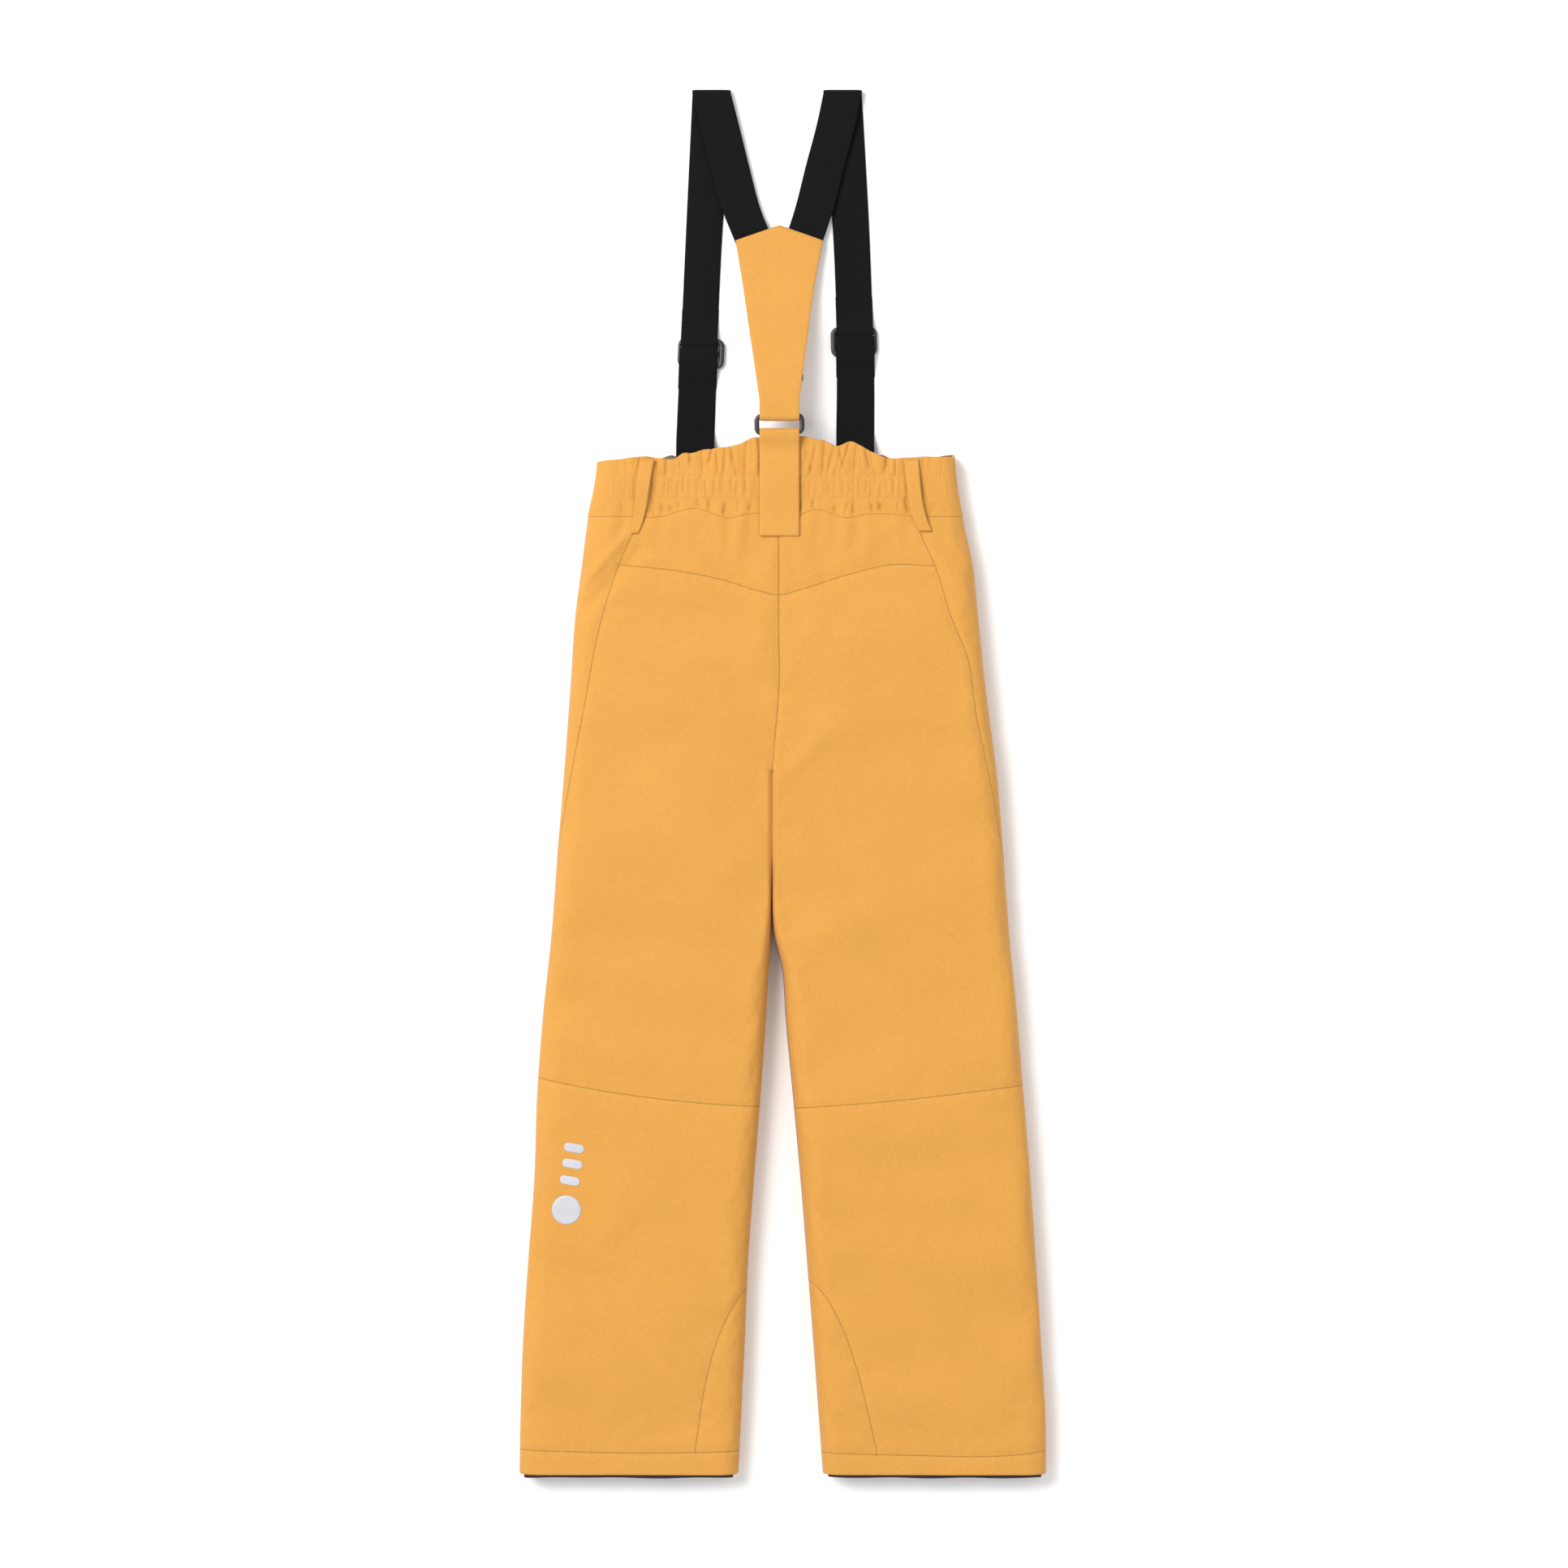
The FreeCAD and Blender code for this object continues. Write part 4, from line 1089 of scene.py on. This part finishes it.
def sweep_bar(half_length, wide, tall, ring=14):
    """Straight bar along X with an oval section."""
    points = []
    angles = np.linspace(0, 2 * math.pi, ring, endpoint=False)
    for x in (-half_length, half_length):
        for angle in angles:
            points.append((x, wide / 2 * math.cos(angle), tall / 2 * math.sin(angle)))
    faces = [(k, (k + 1) % ring, ring + (k + 1) % ring, ring + k) for k in range(ring)]
    faces += [tuple(range(ring))[::-1], tuple(range(ring, 2 * ring))]
    return np.array(points), faces


def place(points, centre, turn_deg):
    turn = math.radians(turn_deg)
    x = points[:, 0] * math.cos(turn) - points[:, 1] * math.sin(turn)
    y = points[:, 0] * math.sin(turn) + points[:, 1] * math.cos(turn)
    return np.stack([x, y, points[:, 2]], 1) + np.array(centre)


def join_parts(parts):
    points, faces = [], []
    for new_points, new_faces in parts:
        offset = sum(len(p) for p in points)
        points.append(new_points)
        faces += [tuple(offset + k for k in face) for face in new_faces]
    return np.concatenate(points), faces


def make_ring(material):
    path = rounded_frame(17.0, 6.6, 4.2)
    wide = 2.4 + 1.3 * step_between(np.abs(path[:, 0]), 12.5, 15.5)
    points, faces = sweep_loop(path, wide, 2.7)
    points = place(points, (-3.4, 270.4, 30.0), 1.5)
    item = new_object("braces_ring", points, faces, material, "braces")
    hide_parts("ring")


def make_tail_slider(material):
    """Small frame under the yoke that holds the folded back tail; one end shows at the yoke's edge."""
    path = rounded_frame(15.6, 3.0, 2.4)
    points, faces = sweep_loop(path, 2.2, 1.7)
    points = place(points, (-2.2, 306.5, 0), 0)
    points[:, 2] += 20.2
    item = new_object("braces_tail_slide", points, faces, material, "braces")
    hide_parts("tail_slider")


SLIDES = {"left": (-62.8, 326.0, -2.5), "right": (53.0, 334.8, 1.7)}


def make_strap_slider(side, plastic, webbing):
    x, y, turn = SLIDES[side]
    path = rounded_frame(15.7, 10.0, 4.6)
    wide = 3.0 + 0.8 * step_between(np.abs(path[:, 0]), 12, 15)
    loop = sweep_loop(path, wide, 2.4)
    bar = sweep_bar(15.4, 3.4, 2.2)
    points, faces = join_parts([loop, bar])
    points[:, 2] += 2.9
    item = new_object(f"strap_slide_{side}", place(points, (x, y, 0), turn), faces, plastic,
                      f"strap_slider_{side}")
    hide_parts(f"strap_slider_{side}")
    rises = ((34, 0.3), (25, 1.0), (17, 2.4), (12, 4.2), (8.8, 5.0), (6.0, 4.3), (4.9, 3.2), (3.6, 4.4),
             (1.0, 5.0), (-5, 5.3), (-10, 4.9), (-15, 3.4), (-20, 1.7), (-26.5, 0.3))
    run = [(0, y, z) for y, z in rises]
    wrap = curve(run, 1.2)
    wrap[:, 1] += y
    wrap[:, 0] += [strap_x(side, along) for along in wrap[:, 1]]
    widths = [27.9 if row < len(wrap) * 0.42 else 29.2 for row in range(len(wrap))]
    body = f"strap_slider_{side}"
    cover = make_ribbon(f"strap_wrap_{side}", wrap, widths, 1.1, webbing, body, columns=13)


FILM_GAP = 0.05
FILM_THICK = 0.35
BAR_CENTRES = ((-157.7, -273.5), (-158.9, -285.4), (-160.8, -298.0))
BAR_TURN = -10
BAR_END_X = 4.4
BAR_END_RADIUS = 3.3
DISC_CENTRE = (-163.5, -320.0)
DISC_RADIUS = 11


def flat_shape(outline, centre, turn):
    """Thin plate with softly rounded rim that follows the cloth beneath it."""
    outline = np.asarray(outline, float)
    scales = (0.35, 0.7, 0.9, 1.0, 1.0)
    heights = (1.0, 1.0, 0.92, 0.55, 0.0)
    points, faces = [], []
    count = len(outline)
    for scale, height in zip(scales, heights):
        flat = np.column_stack([outline * scale, np.zeros(count)])
        flat = place(flat, (*centre, 0.0), turn)
        flat[:, 2] = back_height(flat[:, 0], flat[:, 1]) + FILM_GAP + FILM_THICK * height
        points.append(flat)
    middle = np.array([[*centre, float(back_height(*centre)) + FILM_GAP + FILM_THICK]])
    points = np.concatenate([middle] + points)
    for k in range(count):
        faces.append((0, 1 + k, 1 + (k + 1) % count))
    for row in range(len(scales) - 1):
        for k in range(count):
            near = 1 + row * count
            faces.append((near + k, near + count + k, near + count + (k + 1) % count, near + (k + 1) % count))
    return points, faces


def make_trims(material):
    """Three slanted bars above a plain disc on the left shin."""
    parts = []
    slot_outline = []
    for centre, start in ((BAR_END_X, -90), (-BAR_END_X, 90)):
        for angle in np.linspace(start, start + 180, 12):
            radians = math.radians(angle)
            along = centre + BAR_END_RADIUS * math.cos(radians)
            slot_outline.append((along, BAR_END_RADIUS * math.sin(radians)))
    for centre in BAR_CENTRES:
        parts.append(flat_shape(slot_outline, centre, BAR_TURN))
    points, faces = join_parts(parts)
    bars = new_object("reflective_bars_film", points, faces, material, "lower_leg_left")
    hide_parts("reflective_bars")
    angles = np.linspace(0, 2 * math.pi, 48, endpoint=False)
    circle = [(DISC_RADIUS * math.cos(a), DISC_RADIUS * math.sin(a)) for a in angles]
    points, faces = flat_shape(circle, DISC_CENTRE, 0)
    disc = new_object("plain_disc_film", points, faces, material, "lower_leg_left")
    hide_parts("plain_disc")


# ---------------------------------------------------------------- stage


def make_stage():
    bpy.ops.mesh.primitive_plane_add(size=9.0, location=(0, 0, 0))
    floor = bpy.context.object
    floor.name = "floor"
    nodes = Nodes("pale_floor")
    place_vector = nodes.add("ShaderNodeTexCoord").outputs["Object"]
    cloudy = nodes.noise(place_vector, 3.0, 2.0, 0.5)
    floor.data.materials.append(nodes.finish(
        nodes.mix(cloudy, (0.93, 0.93, 0.93, 1.0), (0.95, 0.95, 0.95, 1.0)), Roughness=0.95,
        Specular_IOR_Level=0.1))

    world = bpy.data.worlds.new("studio")
    bpy.context.scene.world = world
    world.use_nodes = True
    background = world.node_tree.nodes["Background"]
    background.inputs["Color"].default_value = (1.0, 1.0, 1.0, 1.0)
    background.inputs["Strength"].default_value = 0.66

    for name, place_at, size, power in (
        ("key", (-2.2, 1.6, 3.7), 2.3, 190.0),
        ("fill", (2.2, -1.6, 2.8), 2.2, 26.0),
    ):
        light = bpy.data.lights.new(name, "AREA")
        light.shape = "SQUARE"
        light.size = size
        light.energy = power
        item = bpy.data.objects.new(name, light)
        bpy.context.scene.collection.objects.link(item)
        item.location = place_at
        item.rotation_euler = (Vector((0, 0, 0)) - Vector(place_at)).to_track_quat("-Z", "Y").to_euler()


SEEN_WIDTH = 1183.35  # millimetres that the camera takes in from side to side at SEEN_LEVEL
SEEN_LEVEL = 0.015  # metres above the floor


def make_camera():
    """Straight down from above, with the waist at the top of the picture."""
    camera = bpy.data.cameras.new("camera")
    camera.lens = 110.0
    camera.sensor_width = 36.0
    distance = SEEN_WIDTH * MM * camera.lens / camera.sensor_width
    item = bpy.data.objects.new("camera", camera)
    bpy.context.scene.collection.objects.link(item)
    item.location = (0.0, 0.0, distance + SEEN_LEVEL)
    item.rotation_euler = (0, 0, 0)
    bpy.context.scene.camera = item
    bpy.context.scene.view_settings.view_transform = "Standard"


def main():
    shell = shell_fabric("shell_amber")
    lining = plain_cloth("lining_grey", (0.16, 0.145, 0.14))
    gaiter = plain_cloth("gaiter_dark", (0.022, 0.016, 0.015))
    webbing = webbing_material()
    plastic = plastic_material()
    film = reflective_material()
    make_trousers(shell, lining)
    make_waistband(shell, lining)
    make_yoke(shell)
    make_tab(shell)
    make_ring(plastic)
    make_tail_slider(plastic)
    make_trims(film)
    for side in ("left", "right"):
        make_gaiter(side, gaiter)
        make_webbing(side, webbing)
        make_belt_loop(side, shell)
        make_strap_slider(side, plastic, webbing)
    make_fly(shell, plain_cloth("zip_tape_ochre", (0.55, 0.28, 0.08)))
    for node, material in (("fly_zip_slider", plastic), ("waist_snap", snap_material())):
        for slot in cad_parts[node].material_slots:
            slot.material = material
    make_stage()
    make_camera()


main()
